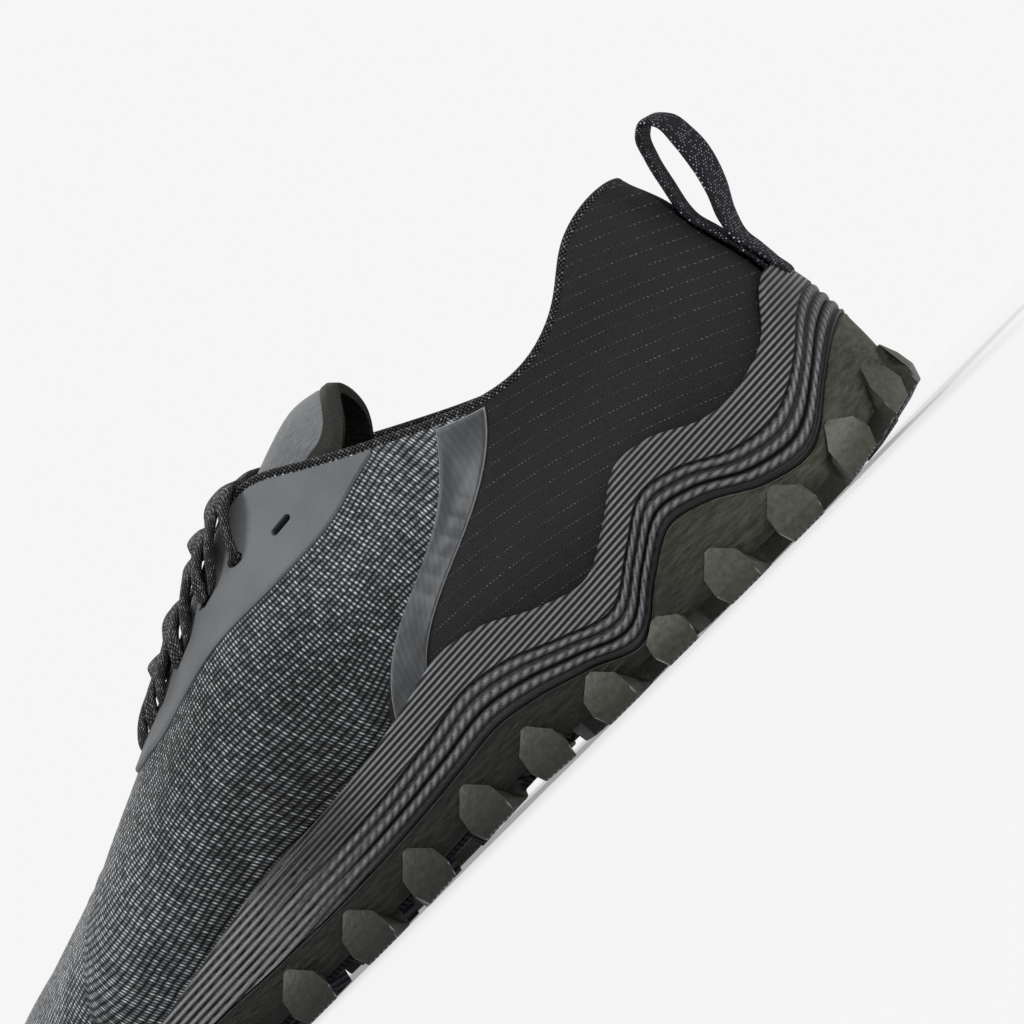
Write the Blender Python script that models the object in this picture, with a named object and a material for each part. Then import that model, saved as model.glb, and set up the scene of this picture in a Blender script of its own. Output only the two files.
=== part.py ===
"""Trail running shoe for the left foot.

Metres, +Z up. The toe points to -X, the heel to +X, and the outer (lateral) side to -Y.
The shoe stands on the floor plane, centred on its own outline.

A place on the shoe is given by a ring number and a height share. The ring runs once round the
outline: 0 at the middle of the heel, forward along the outer side to the toe, and back along
the inner side. The height share runs from 0 at the feather edge, where upper and sole meet,
to 1 at the top line: the collar, the throat, or the ridge of the vamp in front of the throat.
"""
import math

import bmesh
import bpy
import numpy as np

# Outline of the sole
LENGTH = 0.300
BALL_WIDTH = 0.108
WAIST_WIDTH = 0.079
HEEL_WIDTH = 0.087

# Heights above the floor
HEEL_STACK = 0.0240
BALL_STACK = 0.0175
RIM_HEIGHT = 0.040
HEEL_HEIGHT = 0.0865
INSTEP_HEIGHT = 0.100
TOE_HEIGHT = 0.0445
TOE_SPRING = 0.012
HEEL_BEVEL = 0.0055
ARCH_RISE = 0.0015

# Walls, layers and running clearance
CLEARANCE = 0.0003
UPPER_WALL = 0.0024
FEATHER_INSET = 0.0062
RIM_INSET = 0.0037
RUBBER_WALL = 0.0022
RUBBER_BASE = 0.0020
CORNER = 0.0020
RIB_DEPTH = 0.0009
RIB_COUNT = 3
INSOLE_THICKNESS = 0.0040
TONGUE_THICKNESS = 0.0042
TONGUE_RISE = 0.0075
TONGUE_REACH = 0.032
TONGUE_CROWN = 0.0032
TONGUE_HALF_WIDTH = 0.0185
TONGUE_DROP = 0.0085
TONGUE_TOP_CURVE = 0.006
OVERLAY_THICKNESS = 0.0008
OVERLAY_GAP = 0.0007

# Tread
LUG_DEPTH = 0.0048
LUG_PITCH = 0.0194
LUG_PROUD = 0.0028
SIDE_LUG_HEIGHT = 0.0125
SIDE_LUG_WIDTH = 0.0115
EDGE_LUG_REACH = 0.0110
EDGE_LUG_SKEW = 0.0035
INSERT_THICKNESS = 0.0012
BLADE_LENGTH = 0.0195
BLADE_WIDTH = 0.0070

# Trim
COLLAR_BINDING_RADIUS = 0.0011
THROAT_BINDING_RADIUS = 0.0014
LOOP_WIDTH = 0.012
LOOP_THICKNESS = 0.0016
LOOP_REACH = 0.0105
LOOP_TOP = 0.0055
LACE_WIDTH = 0.0046
LACE_THICKNESS = 0.0024

# Sections round the shoe, from the middle of the heel to the tip of the toe.
# along: share of the length. across: share of the local sole width, outer side negative.
# top_half and top_centre: shares of the ball width. top_height: share of the named height.
# lean: degrees from upright at the top line. flare: degrees outward at the feather edge.
SECTION_COLUMNS = ("outer_along", "outer_across", "inner_along", "inner_across", "top_along",
                   "top_half", "top_centre", "height_of", "top_height", "lean", "flare")
SECTIONS = (
    (0.000, 0.000, 0.000, 0.000, 0.047, 0.000, 0.000, "heel", 1.000, 12, 5),
    (0.023, -0.276, 0.023, 0.264, 0.058, 0.122, 0.000, "heel", 1.002, 11, 6),
    (0.085, -0.448, 0.085, 0.437, 0.098, 0.200, 0.000, "heel", 0.968, 9, 8),
    (0.160, -0.497, 0.160, 0.485, 0.136, 0.237, 0.000, "heel", 0.868, 8, 9),
    (0.240, -0.515, 0.240, 0.468, 0.190, 0.259, 0.000, "instep", 0.700, 10, 9),
    (0.320, -0.540, 0.320, 0.455, 0.253, 0.252, 0.005, "instep", 0.742, 15, 8),
    (0.400, -0.566, 0.400, 0.437, 0.317, 0.230, 0.010, "instep", 0.832, 23, 7),
    (0.475, -0.567, 0.475, 0.436, 0.375, 0.200, 0.015, "instep", 0.925, 33, 7),
    (0.550, -0.548, 0.550, 0.452, 0.423, 0.170, 0.020, "instep", 0.990, 43, 8),
    (0.630, -0.518, 0.630, 0.470, 0.483, 0.140, 0.020, "instep", 0.945, 52, 9),
    (0.715, -0.500, 0.715, 0.495, 0.560, 0.118, 0.025, "instep", 0.840, 62, 10),
    (0.800, -0.450, 0.795, 0.486, 0.632, 0.112, 0.030, "instep", 0.738, 88, 10),
    (0.875, -0.353, 0.872, 0.436, 0.722, 0.000, 0.045, "instep", 0.635, 90, 9),
    (0.940, -0.200, 0.940, 0.348, 0.812, 0.000, 0.070, "toe", 1.215, 90, 8),
    (0.985, -0.028, 0.985, 0.229, 0.885, 0.000, 0.092, "toe", 1.030, 90, 7),
    (1.000, 0.105, 1.000, 0.105, 0.925, 0.000, 0.102, "toe", 0.880, 90, 6),
)
THROAT_ROW = 11

# Rim of the midsole and top edge of the rubber: along, rim and rubber as shares of RIM_HEIGHT
WAVE = (
    (0.000, 1.225, 0.720),
    (0.010, 1.170, 0.660),
    (0.033, 0.960, 0.510),
    (0.067, 0.840, 0.300),
    (0.110, 0.840, 0.330),
    (0.153, 0.985, 0.500),
    (0.183, 1.005, 0.550),
    (0.220, 0.830, 0.400),
    (0.257, 0.680, 0.200),
    (0.303, 0.760, 0.300),
    (0.343, 0.910, 0.390),
    (0.380, 0.965, 0.440),
    (0.430, 0.890, 0.410),
    (0.483, 0.825, 0.375),
    (0.540, 0.790, 0.355),
    (0.590, 0.780, 0.355),
    (0.657, 0.700, 0.370),
    (0.723, 0.620, 0.390),
    (0.800, 0.560, 0.400),
    (0.900, 0.550, 0.440),
    (1.000, 0.585, 0.500),
)

# Local width of the sole: along, and the size that holds there
WIDTH_PLACES = (0.18, 0.40, 0.70)
# Footbed: along, and share of the way from the heel stack to the ball stack
FOOTBED_DROP = ((0.00, 0.0), (0.22, 0.0), (0.45, 0.42), (0.68, 1.0), (1.00, 1.0))
SPRING_START = 0.72
SPRING_POWER = 1.8
BEVEL_END = 0.090
BEVEL_POWER = 1.6
ARCH_START = 0.31
ARCH_END = 0.53

# Columns round the ring for each form, as samples per section
SOLE_SAMPLES = 3
UPPER_SAMPLES = 3
INSOLE_SAMPLES = 2
UPPER_BANDS = 6

# Overlays, as ring number, lower and upper height share
EYESTAY = (
    (6.333, 0.93, 0.975),
    (6.70, 0.87, 0.975),
    (7.20, 0.81, 0.975),
    (7.80, 0.76, 0.975),
    (8.50, 0.74, 0.975),
    (9.20, 0.74, 0.975),
    (9.90, 0.77, 0.975),
    (10.40, 0.82, 0.975),
    (10.667, 0.86, 0.970),
)
# Height share of the upper that the tongue reaches under, and the rings where it begins
# under the base of the throat and comes out at its top
TONGUE_TUCK = 0.16
TONGUE_ROOT_RING = 10.88
TONGUE_EXIT_RING = 8.1
STRAP_TOP_RING = 4.95
STRAP_FOOT_RING = 6.30
STRAP_HALF_RINGS = 0.26
STRAP_HEAD = 0.965
TOE_CAP_START = 12.1
TOE_CAP_HEIGHT = 0.30

# Inserts of the tread: along, outer edge and inner edge as shares of the half width
FOREFOOT_INSERT = (
    (0.400, -0.42, -0.16),
    (0.440, -0.60, -0.04),
    (0.500, -0.68, 0.06),
    (0.545, -0.70, 0.52),
    (0.620, -0.71, 0.68),
    (0.720, -0.71, 0.70),
    (0.820, -0.68, 0.70),
    (0.890, -0.56, 0.62),
    (0.930, -0.36, 0.46),
)
MIDFOOT_INSERT = (
    (0.325, 0.24, 0.82),
    (0.355, 0.12, 0.90),
    (0.430, 0.10, 0.92),
    (0.490, 0.22, 0.90),
    (0.522, 0.56, 0.86),
)
# Rows of blades under the sole: along, outer and inner blade centres, slant in degrees
BLADE_ROWS = (
    (0.100, -0.28, 0.30, 30),
    (0.160, -0.44, 0.44, 36),
    (0.222, -0.42, 0.44, -34),
    (0.284, -0.46, 0.42, 36),
    (0.346, -0.44, None, -32),
    (0.580, -0.44, 0.38, 36),
    (0.645, -0.50, 0.48, -34),
    (0.710, -0.46, 0.44, 36),
    (0.775, -0.48, 0.48, -34),
    (0.840, -0.40, 0.42, 34),
)
STUD_ROWS = (
    (0.135, 0.04),
    (0.195, 0.00),
    (0.255, 0.02),
    (0.315, -0.08),
    (0.470, -0.34),
    (0.525, -0.30),
    (0.612, 0.00),
    (0.745, 0.00),
    (0.808, 0.02),
    (0.872, 0.04),
)
ACCENT_ALONG = 0.678
ACCENT_ACROSS = 0.02
STUD_RADIUS = 0.0050

# Laces: ring numbers of the slots on each side, from the top of the throat to its base
LACE_RINGS = (8.10, 8.75, 9.40, 10.05, 10.60)
LACE_SHARE = 0.885

BODY_COLOURS = {
    "outsole": (0.055, 0.056, 0.045, 0.75, 0.0),
    "forefoot_tread": (0.022, 0.022, 0.034, 0.70, 0.0),
    "midfoot_grip": (0.040, 0.040, 0.036, 0.75, 0.0),
    "tread_accent": (0.540, 0.050, 0.070, 0.60, 0.0),
    "midsole": (0.018, 0.018, 0.021, 0.65, 0.0),
    "upper": (0.060, 0.062, 0.064, 0.90, 0.0),
    "insole": (0.030, 0.030, 0.032, 0.95, 0.0),
    "tongue": (0.150, 0.155, 0.160, 0.90, 0.0),
    "collar_binding": (0.012, 0.012, 0.013, 0.85, 0.0),
    "overlay": (0.145, 0.150, 0.155, 0.60, 0.0),
    "strap": (0.090, 0.095, 0.100, 0.50, 0.0),
    "pull_loop": (0.025, 0.025, 0.030, 0.85, 0.0),
    "laces": (0.040, 0.040, 0.042, 0.90, 0.0),
}

LAST_ROW = len(SECTIONS) - 1
RING = 2 * LAST_ROW


def clear_scene():
    for item in list(bpy.data.objects):
        bpy.data.objects.remove(item, do_unlink=True)


def column(name):
    index = SECTION_COLUMNS.index(name)
    return [row[index] for row in SECTIONS]


def round_ring(outer, inner):
    """Values of both sides in ring order."""
    return np.array(list(outer) + list(inner)[-2:0:-1], dtype=float)


def spline_through(values):
    """Coefficients of the closed cubic spline through one value at each ring number."""
    count = len(values)
    unit = np.eye(count)
    system = (4.0 * unit + np.roll(unit, 1, axis=1) + np.roll(unit, -1, axis=1)) / 6.0
    return np.linalg.solve(system, values)


def spline_at(spline, ring):
    ring = np.asarray(ring, dtype=float)
    start = np.floor(ring).astype(int)
    part = ring - start
    weights = (
        (1 - part) ** 3 / 6,
        (3 * part ** 3 - 6 * part ** 2 + 4) / 6,
        (-3 * part ** 3 + 3 * part ** 2 + 3 * part + 1) / 6,
        part ** 3 / 6,
    )
    return sum(weight * spline[(start + step - 1) % len(spline)]
               for step, weight in enumerate(weights))


def table_at(places, values, at):
    """Smooth curve through a table, with slopes taken from the neighbouring rows."""
    places = np.asarray(places, dtype=float)
    values = np.asarray(values, dtype=float)
    at = np.clip(np.asarray(at, dtype=float), places[0], places[-1])
    slopes = np.gradient(values, places)
    row = np.clip(np.searchsorted(places, at, side="right") - 1, 0, len(places) - 2)
    width = places[row + 1] - places[row]
    part = (at - places[row]) / width
    return (values[row] * (1 + 2 * part) * (1 - part) ** 2
            + slopes[row] * width * part * (1 - part) ** 2
            + values[row + 1] * part ** 2 * (3 - 2 * part)
            + slopes[row + 1] * width * part ** 2 * (part - 1))


def smooth_step(part):
    part = np.clip(part, 0.0, 1.0)
    return part * part * (3 - 2 * part)


def local_width(along):
    heel, waist, ball = WIDTH_PLACES
    to_waist = smooth_step((along - heel) / (waist - heel))
    to_ball = smooth_step((along - waist) / (ball - waist))
    return HEEL_WIDTH + (WAIST_WIDTH - HEEL_WIDTH) * to_waist + (BALL_WIDTH - WAIST_WIDTH) * to_ball


def outline_splines():
    outer_along = np.array(column("outer_along"))
    inner_along = np.array(column("inner_along"))
    outer_y = np.array(column("outer_across")) * local_width(outer_along)
    inner_y = np.array(column("inner_across")) * local_width(inner_along)
    across = spline_through(round_ring(outer_y, inner_y))
    return spline_through(round_ring(outer_along, inner_along) * LENGTH), across


def top_splines():
    size = {"heel": HEEL_HEIGHT, "instep": INSTEP_HEIGHT, "toe": TOE_HEIGHT}
    heights = [size[name] * share for name, share in zip(column("height_of"), column("top_height"))]
    both = {
        "along": np.array(column("top_along")) * LENGTH,
        "half": np.array(column("top_half")) * BALL_WIDTH,
        "centre": np.array(column("top_centre")) * BALL_WIDTH,
        "height": np.array(heights),
        "lean": np.radians(column("lean")),
        "flare": np.radians(column("flare")),
    }
    return {name: spline_through(round_ring(values, values)) for name, values in both.items()}


OUTLINE_ALONG, OUTLINE_ACROSS = outline_splines()
TOP = top_splines()


def outline(ring):
    """Points of the widest outline and the level directions out of it."""
    step = 0.01
    along = spline_at(OUTLINE_ALONG, ring)
    across = spline_at(OUTLINE_ACROSS, ring)
    run_x = spline_at(OUTLINE_ALONG, ring - step) - spline_at(OUTLINE_ALONG, ring + step)
    run_y = spline_at(OUTLINE_ACROSS, ring + step) - spline_at(OUTLINE_ACROSS, ring - step)
    size = np.hypot(run_x, run_y)
    return np.stack((-along, across), axis=-1), np.stack((-run_y / size, run_x / size), axis=-1)


def spring(along):
    part = np.clip((along - SPRING_START) / (1.0 - SPRING_START), 0.0, 1.1)
    return TOE_SPRING * part ** SPRING_POWER


def base_height(along):
    """Lower face of the rubber, between the lugs."""
    bevel = HEEL_BEVEL * np.clip(1.0 - along / BEVEL_END, 0.0, 1.2) ** BEVEL_POWER
    arch = np.clip((along - ARCH_START) / (ARCH_END - ARCH_START), 0.0, 1.0)
    return LUG_DEPTH + spring(along) + bevel + ARCH_RISE * np.sin(math.pi * arch) ** 2


def footbed_height(along):
    drop = table_at(*zip(*FOOTBED_DROP), along)
    return HEEL_STACK + (BALL_STACK - HEEL_STACK) * drop + spring(along)


def rim_height(along):
    places, rims, _ = zip(*WAVE)
    low = footbed_height(along) + 2 * CLEARANCE
    return np.maximum(RIM_HEIGHT * table_at(places, rims, along) + spring(along), low)


def rubber_height(along):
    places, _, rubber = zip(*WAVE)
    low = base_height(along) + RUBBER_BASE + 2 * CLEARANCE
    return np.maximum(RIM_HEIGHT * table_at(places, rubber, along) + spring(along), low)


def top_line(ring):
    """Points of the collar, throat and vamp ridge, with the lean of the wall there."""
    ring = np.mod(ring, RING)
    side = np.where(ring > LAST_ROW, 1.0, -1.0)
    row = np.minimum(ring, RING - ring)
    along = spline_at(TOP["along"], row)
    part = np.clip(row - (THROAT_ROW - 1), 0.0, 1.0)
    half = spline_at(TOP["half"], row) * np.sqrt(np.clip(1.0 - part ** 2.2, 0.0, 1.0))
    half = np.maximum(half, 0.0)
    height = spline_at(TOP["height"], row) + spring(along / LENGTH)
    lean = np.minimum(spline_at(TOP["lean"], row), math.pi / 2)
    lean = np.where(row >= THROAT_ROW, math.pi / 2, lean)
    across = spline_at(TOP["centre"], row) + side * half
    return np.stack((-along, across, height), axis=-1), lean


def ridge_slope(along):
    """Rise of the vamp's ridge towards the heel, per metre."""
    rows = range(THROAT_ROW - 1, LAST_ROW + 1)
    points, _ = top_line(np.array(rows, dtype=float))
    places = -points[:, 0]
    step = 0.004
    low = np.clip(along - step, places[0], places[-1])
    high = np.clip(along + step, places[0], places[-1])
    drop = table_at(places, points[:, 2], low) - table_at(places, points[:, 2], high)
    return drop / np.maximum(high - low, step)


def upper_surface(ring, share):
    """Outer face of the upper at ring numbers and height shares of the same shape."""
    ring, share = np.broadcast_arrays(np.asarray(ring, float), np.asarray(share, float))
    edge, out = outline(ring)
    along = -edge[..., 0] / LENGTH
    foot = np.zeros(ring.shape + (3,))
    foot[..., :2] = edge - out * FEATHER_INSET
    foot[..., 2] = footbed_height(along) + CLEARANCE
    top, lean = top_line(ring)
    span = top - foot
    reach = np.maximum(np.hypot(span[..., 0], span[..., 1]), 1e-6)
    inward = span[..., :2] / reach[..., None]
    row = np.minimum(np.mod(ring, RING), RING - np.mod(ring, RING))
    flare = spline_at(TOP["flare"], row)
    closed = np.clip((np.degrees(lean) - 60.0) / 30.0, 0.0, 1.0)
    rise = span[..., 2]
    first = np.concatenate((out * np.sin(flare)[..., None], np.cos(flare)[..., None]), axis=-1)
    climb = np.cos(lean) + closed * ridge_slope(-top[..., 0]) * inward[..., 0]
    last = np.concatenate((inward * np.sin(lean)[..., None], climb[..., None]), axis=-1)
    quarter = 0.5523
    first_length = quarter * rise
    last_length = quarter * (reach * np.sin(lean) + rise * np.cos(lean))
    first_handle = foot + first * first_length[..., None]
    last_handle = top - last * last_length[..., None]
    s = share[..., None]
    return (foot * (1 - s) ** 3 + 3 * first_handle * s * (1 - s) ** 2
            + 3 * last_handle * s ** 2 * (1 - s) + top * s ** 3)


def upper_normal(ring, share):
    """Outward directions of the upper's outer face."""
    step = 0.02
    high = np.minimum(np.asarray(share, float) + step, 1.0)
    low = np.maximum(np.asarray(share, float) - step, 0.0)
    along = upper_surface(ring + step, share) - upper_surface(ring - step, share)
    climb = upper_surface(ring, high) - upper_surface(ring, low)
    normal = np.cross(climb, along)
    size = np.maximum(np.linalg.norm(normal, axis=-1, keepdims=True), 1e-12)
    return normal / size


def rim_share(ring):
    """Height share at which the upper leaves the midsole's rim."""
    shares = np.linspace(0.0, 0.8, 81)
    grid = upper_surface(ring[:, None], shares[None, :])[..., 2]
    edge, _ = outline(ring)
    heights = rim_height(-edge[:, 0] / LENGTH)
    return np.array([np.interp(height, line, shares) for height, line in zip(heights, grid)])


def material(name):
    found = bpy.data.materials.get(name)
    if found:
        return found
    red, green, blue, roughness, metallic = BODY_COLOURS[name]
    made = bpy.data.materials.new(name)
    made.use_nodes = True
    shader = made.node_tree.nodes["Principled BSDF"]
    shader.inputs["Base Color"].default_value = (red, green, blue, 1.0)
    shader.inputs["Roughness"].default_value = roughness
    shader.inputs["Metallic"].default_value = metallic
    made.diffuse_color = (red, green, blue, 1.0)
    return made


def add_object(name, points, faces, finish):
    mesh = bpy.data.meshes.new(name)
    mesh.from_pydata([tuple(point) for point in points], [], faces)
    work = bmesh.new()
    work.from_mesh(mesh)
    bmesh.ops.recalc_face_normals(work, faces=work.faces)
    work.to_mesh(mesh)
    work.free()
    mesh.materials.append(material(finish))
    mesh.shade_smooth()
    mesh.set_sharp_from_angle(angle=math.radians(38))
    made = bpy.data.objects.new(name, mesh)
    bpy.context.scene.collection.objects.link(made)
    return made


def ring_samples(per_section):
    return np.arange(RING * per_section) / per_section


def wall_ring(ring, offset, height):
    """Points at a level distance out of the outline, at their own heights."""
    edge, out = outline(ring)
    points = np.empty((len(ring), 3))
    points[:, :2] = edge + out * np.reshape(offset, (-1, 1))
    points[:, 2] = height
    return points


def floor_ring(ring, inset, lift):
    """Level ring inside the outline that follows the base of the tread, some way above it."""
    points = wall_ring(ring, np.full(len(ring), -inset), 0.0)
    points[:, 2] = base_height(-points[:, 0] / LENGTH) + lift
    return points


def ring_stack(name, rings, finish):
    """Closed body through a stack of rings, whose first and last ring are closed across."""
    count = len(rings[0])
    points = np.concatenate(rings)
    faces = []
    for level in range(len(rings) - 1):
        low = level * count
        high = low + count
        for i in range(count):
            j = (i + 1) % count
            faces.append((low + i, low + j, high + j, high + i))
    for start in (0, (len(rings) - 1) * count):
        faces.extend(face_across(start, count))
    return add_object(name, points, faces, finish)


def face_across(start, count):
    """Strips from the outer side to the inner side of a ring."""
    half = count // 2
    faces = [(start, start + 1, start + count - 1)]
    for i in range(1, half - 1):
        faces.append((start + i, start + i + 1, start + count - i - 1, start + count - i))
    faces.append((start + half - 1, start + half, start + half + 1))
    return faces


def build_midsole():
    ring = ring_samples(SOLE_SAMPLES)
    edge, _ = outline(ring)
    along = -edge[:, 0] / LENGTH
    bottom = base_height(along) + RUBBER_BASE + 2 * CLEARANCE
    ledge = rubber_height(along) + CLEARANCE
    rim = rim_height(along)
    corner = np.minimum(CORNER, 0.5 * (ledge - bottom))
    inner = -(RUBBER_WALL + CLEARANCE)
    rings = [
        floor_ring(ring, RUBBER_WALL + CLEARANCE + CORNER, RUBBER_BASE + 2 * CLEARANCE),
        wall_ring(ring, np.full(len(ring), inner), bottom + corner),
        wall_ring(ring, np.full(len(ring), inner), ledge),
    ]
    ribs = 2 * RIB_COUNT
    for level in range(ribs + 2):
        share = 0.72 * level / (ribs + 1)
        groove = RIB_DEPTH * (level % 2)
        rings.append(wall_ring(ring, band_offset(share) - groove, ledge + share * (rim - ledge)))
    rings.append(wall_ring(ring, np.full(len(ring), -RIM_INSET), rim))
    leave = rim_share(ring)
    for part in (1.0, 0.5):
        rings.append(upper_surface(ring, leave * part) + CLEARANCE * upper_normal(ring, leave * part))
    seat = upper_surface(ring, 0 * leave) + CLEARANCE * upper_normal(ring, 0 * leave)
    seat[:, 2] = footbed_height(along)
    rings.append(seat)
    return ring_stack("midsole", rings, "midsole")


def band_offset(share):
    """Side of the foam band: proud of the rubber at its foot, drawn in towards the rim."""
    return CLEARANCE - (RIM_INSET + CLEARANCE) * share ** 2.2


def build_outsole():
    ring = ring_samples(SOLE_SAMPLES)
    edge, _ = outline(ring)
    along = -edge[:, 0] / LENGTH
    base = base_height(along)
    top = rubber_height(along)
    floor = base + RUBBER_BASE
    ledge = top + CLEARANCE
    corner = np.minimum(CORNER, 0.5 * (ledge - floor - CLEARANCE))
    same = np.ones(len(ring))
    rings = [
        floor_ring(ring, 0.0018, 0.0),
        wall_ring(ring, -0.0008 * same, base + np.minimum(0.0016, 0.4 * (top - base))),
        wall_ring(ring, -0.0001 * same, top),
        wall_ring(ring, -RUBBER_WALL * same, top),
        wall_ring(ring, -RUBBER_WALL * same, floor + corner),
        floor_ring(ring, RUBBER_WALL + CORNER, RUBBER_BASE),
    ]
    body = ring_stack("outsole", rings, "outsole")
    add_union(body, edge_lugs())
    blades = [lug for along, outer, inner, slant in BLADE_ROWS if along < 0.40
              for lug in blade_pair(along, outer, inner, slant)]
    studs = [stud(along, across) for along, across in STUD_ROWS if along < 0.40]
    add_union(body, hull_object("outsole_lugs", blades + studs, "outsole"))
    return body


def add_union(body, part):
    modifier = body.modifiers.new(part.name, "BOOLEAN")
    modifier.operation = "UNION"
    modifier.solver = "EXACT"
    modifier.object = part
    part.hide_render = True
    part.display_type = "WIRE"


def hull_object(name, hulls, finish):
    """Separate convex blocks in one mesh."""
    mesh = bpy.data.meshes.new(name)
    work = bmesh.new()
    for hull in hulls:
        made = [work.verts.new(tuple(point)) for point in hull]
        result = bmesh.ops.convex_hull(work, input=made)
        inside = set(result["geom_interior"]) | set(result["geom_unused"])
        loose = [item for item in inside if isinstance(item, bmesh.types.BMVert)]
        bmesh.ops.delete(work, geom=loose, context="VERTS")
    bmesh.ops.recalc_face_normals(work, faces=work.faces)
    work.to_mesh(mesh)
    work.free()
    mesh.materials.append(material(finish))
    mesh.shade_smooth()
    mesh.set_sharp_from_angle(angle=math.radians(30))
    made = bpy.data.objects.new(name, mesh)
    bpy.context.scene.collection.objects.link(made)
    return made


def outline_lengths():
    """Ring numbers at closely spaced lengths along the outline."""
    ring = np.linspace(0.0, RING, RING * 40 + 1)
    edge, _ = outline(ring)
    steps = np.linalg.norm(np.diff(edge, axis=0), axis=1)
    return ring, np.concatenate(([0.0], np.cumsum(steps)))


def ring_at_length(lengths):
    ring, run = outline_lengths()
    return np.interp(np.mod(lengths, run[-1]), run, ring)


def lug_places():
    """Lengths along the outline at the middle of each side lug."""
    _, run = outline_lengths()
    count = int(round(run[-1] / LUG_PITCH))
    return np.arange(count) * run[-1] / count


def at_edge(length, offset, height_from_base):
    """Point at a length along the outline, a distance out of it and a height over the base."""
    ring = ring_at_length(np.array([length]))
    edge, out = outline(ring)
    x, y = edge[0] + out[0] * offset
    base = base_height(np.array([-min(x, 0.0) / LENGTH]))
    return (x, y, base[0] + height_from_base)


def over_midfoot_insert(length):
    ring = ring_at_length(np.array([length]))
    edge, _ = outline(ring)
    along = -edge[0, 0] / LENGTH
    return edge[0, 1] > 0 and MIDFOOT_INSERT[0][0] - 0.02 < along < MIDFOOT_INSERT[-1][0] + 0.02


def fan_in(middle, reach):
    """Share of its width that a block keeps at its inner end, where the outline bends."""
    spread = LUG_PITCH / 2
    ring = ring_at_length(np.array([middle - spread, middle + spread]))
    edge, out = outline(ring)
    inside = edge - out * reach
    return min(1.0, float(np.linalg.norm(inside[1] - inside[0]) / LUG_PITCH))


def edge_lug(middle, skew, reach):
    """Block of the tread's edge: a ground face that turns up the side in an arrow head."""
    half = 0.5 * SIDE_LUG_WIDTH
    root_share = 0.80 * fan_in(middle, reach)
    ring = ring_at_length(np.array([middle]))
    edge, _ = outline(ring)
    along = -edge[:, 0] / LENGTH
    room = float((rubber_height(along) - base_height(along))[0]) - 2 * CLEARANCE
    peak = min(SIDE_LUG_HEIGHT - LUG_DEPTH, room)
    embed = -0.6 * RUBBER_WALL
    root = 0.6 * RUBBER_BASE
    profile = (
        (skew, root_share, -reach, root),
        (skew, 0.82 * root_share, -reach, -LUG_DEPTH),
        (0.0, 0.80, 0.55 * LUG_PROUD, -LUG_DEPTH),
        (0.0, 1.00, LUG_PROUD, -0.2 * LUG_DEPTH),
        (0.0, 0.90, 0.75 * LUG_PROUD, 0.45 * peak),
        (0.0, 0.15, 0.25 * LUG_PROUD, peak),
        (0.0, 0.15, embed, peak),
        (0.0, 0.90, embed, root),
    )
    sides = [[at_edge(middle + shift + side * half * share, offset, height)
              for shift, share, offset, height in profile] for side in (-1.0, 1.0)]
    return sides


def edge_lugs():
    """All blocks along the edge of the tread, in one mesh."""
    work = bmesh.new()
    for index, middle in enumerate(lug_places()):
        skew = EDGE_LUG_SKEW if index % 2 else -EDGE_LUG_SKEW
        reach = EDGE_LUG_REACH * (1.0 if index % 2 else 0.8)
        if fan_in(middle, reach) < 0.85:
            skew = 0.0
        if over_midfoot_insert(middle):
            skew = 0.0
            reach = 0.25 * EDGE_LUG_REACH
        left, right = [[work.verts.new(point) for point in side]
                       for side in edge_lug(middle, skew, reach)]
        count = len(left)
        work.faces.new(left)
        work.faces.new(right[::-1])
        for k in range(count):
            m = (k + 1) % count
            work.faces.new((left[m], left[k], right[k], right[m]))
    bmesh.ops.triangulate(work, faces=work.faces, ngon_method="EAR_CLIP")
    bmesh.ops.recalc_face_normals(work, faces=work.faces)
    mesh = bpy.data.meshes.new("edge_lugs")
    work.to_mesh(mesh)
    work.free()
    mesh.materials.append(material("outsole"))
    mesh.shade_smooth()
    mesh.set_sharp_from_angle(angle=math.radians(30))
    made = bpy.data.objects.new("edge_lugs", mesh)
    bpy.context.scene.collection.objects.link(made)
    return made


def side_edges():
    """Outer and inner edge of the outline as functions of the length."""
    ring = np.linspace(0.0, LAST_ROW, LAST_ROW * 20 + 1)
    outer, _ = outline(ring)
    inner, _ = outline(RING - ring)
    return outer, inner


def on_tread(along, across):
    """Level place under the sole, from shares of the length and of the half width."""
    outer, inner = side_edges()
    x = -along * LENGTH
    outer_y = np.interp(along * LENGTH, -outer[:, 0], outer[:, 1])
    inner_y = np.interp(along * LENGTH, -inner[:, 0], inner[:, 1])
    return x, outer_y + (inner_y - outer_y) * (across + 1) / 2


def block(x, y, corners, top, depth=0.0):
    """Convex block between a height over the base and the foot of the lugs."""
    hull = []
    for share, level in ((1.0, top), (0.84, -LUG_DEPTH)):
        for dx, dy in corners:
            px = x + dx * share
            height = float(base_height(np.array([-px / LENGTH]))[0])
            hull.append((px, y + dy * share, height + level - depth))
    return hull


def blade_corners(slant, side):
    """Arrow-shaped blade, turned by its slant and mirrored on the inner side."""
    outline_points = (
        (-0.50 * BLADE_LENGTH, -0.50 * BLADE_WIDTH),
        (-0.56 * BLADE_LENGTH, 0.25 * BLADE_WIDTH),
        (-0.30 * BLADE_LENGTH, 0.75 * BLADE_WIDTH),
        (0.50 * BLADE_LENGTH, 0.50 * BLADE_WIDTH),
        (0.44 * BLADE_LENGTH, -0.50 * BLADE_WIDTH),
    )
    turn = math.radians(slant)
    return [(x * math.sin(turn) - y * math.cos(turn), side * (x * math.cos(turn) + y * math.sin(turn)))
            for x, y in outline_points]


def blade_pair(along, outer, inner, slant, top=0.6 * RUBBER_BASE):
    made = []
    for across, side in ((outer, 1.0), (inner, -1.0)):
        if across is None:
            continue
        x, y = on_tread(along, across)
        made.append(block(x, y, blade_corners(slant, side), top))
    return made


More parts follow.
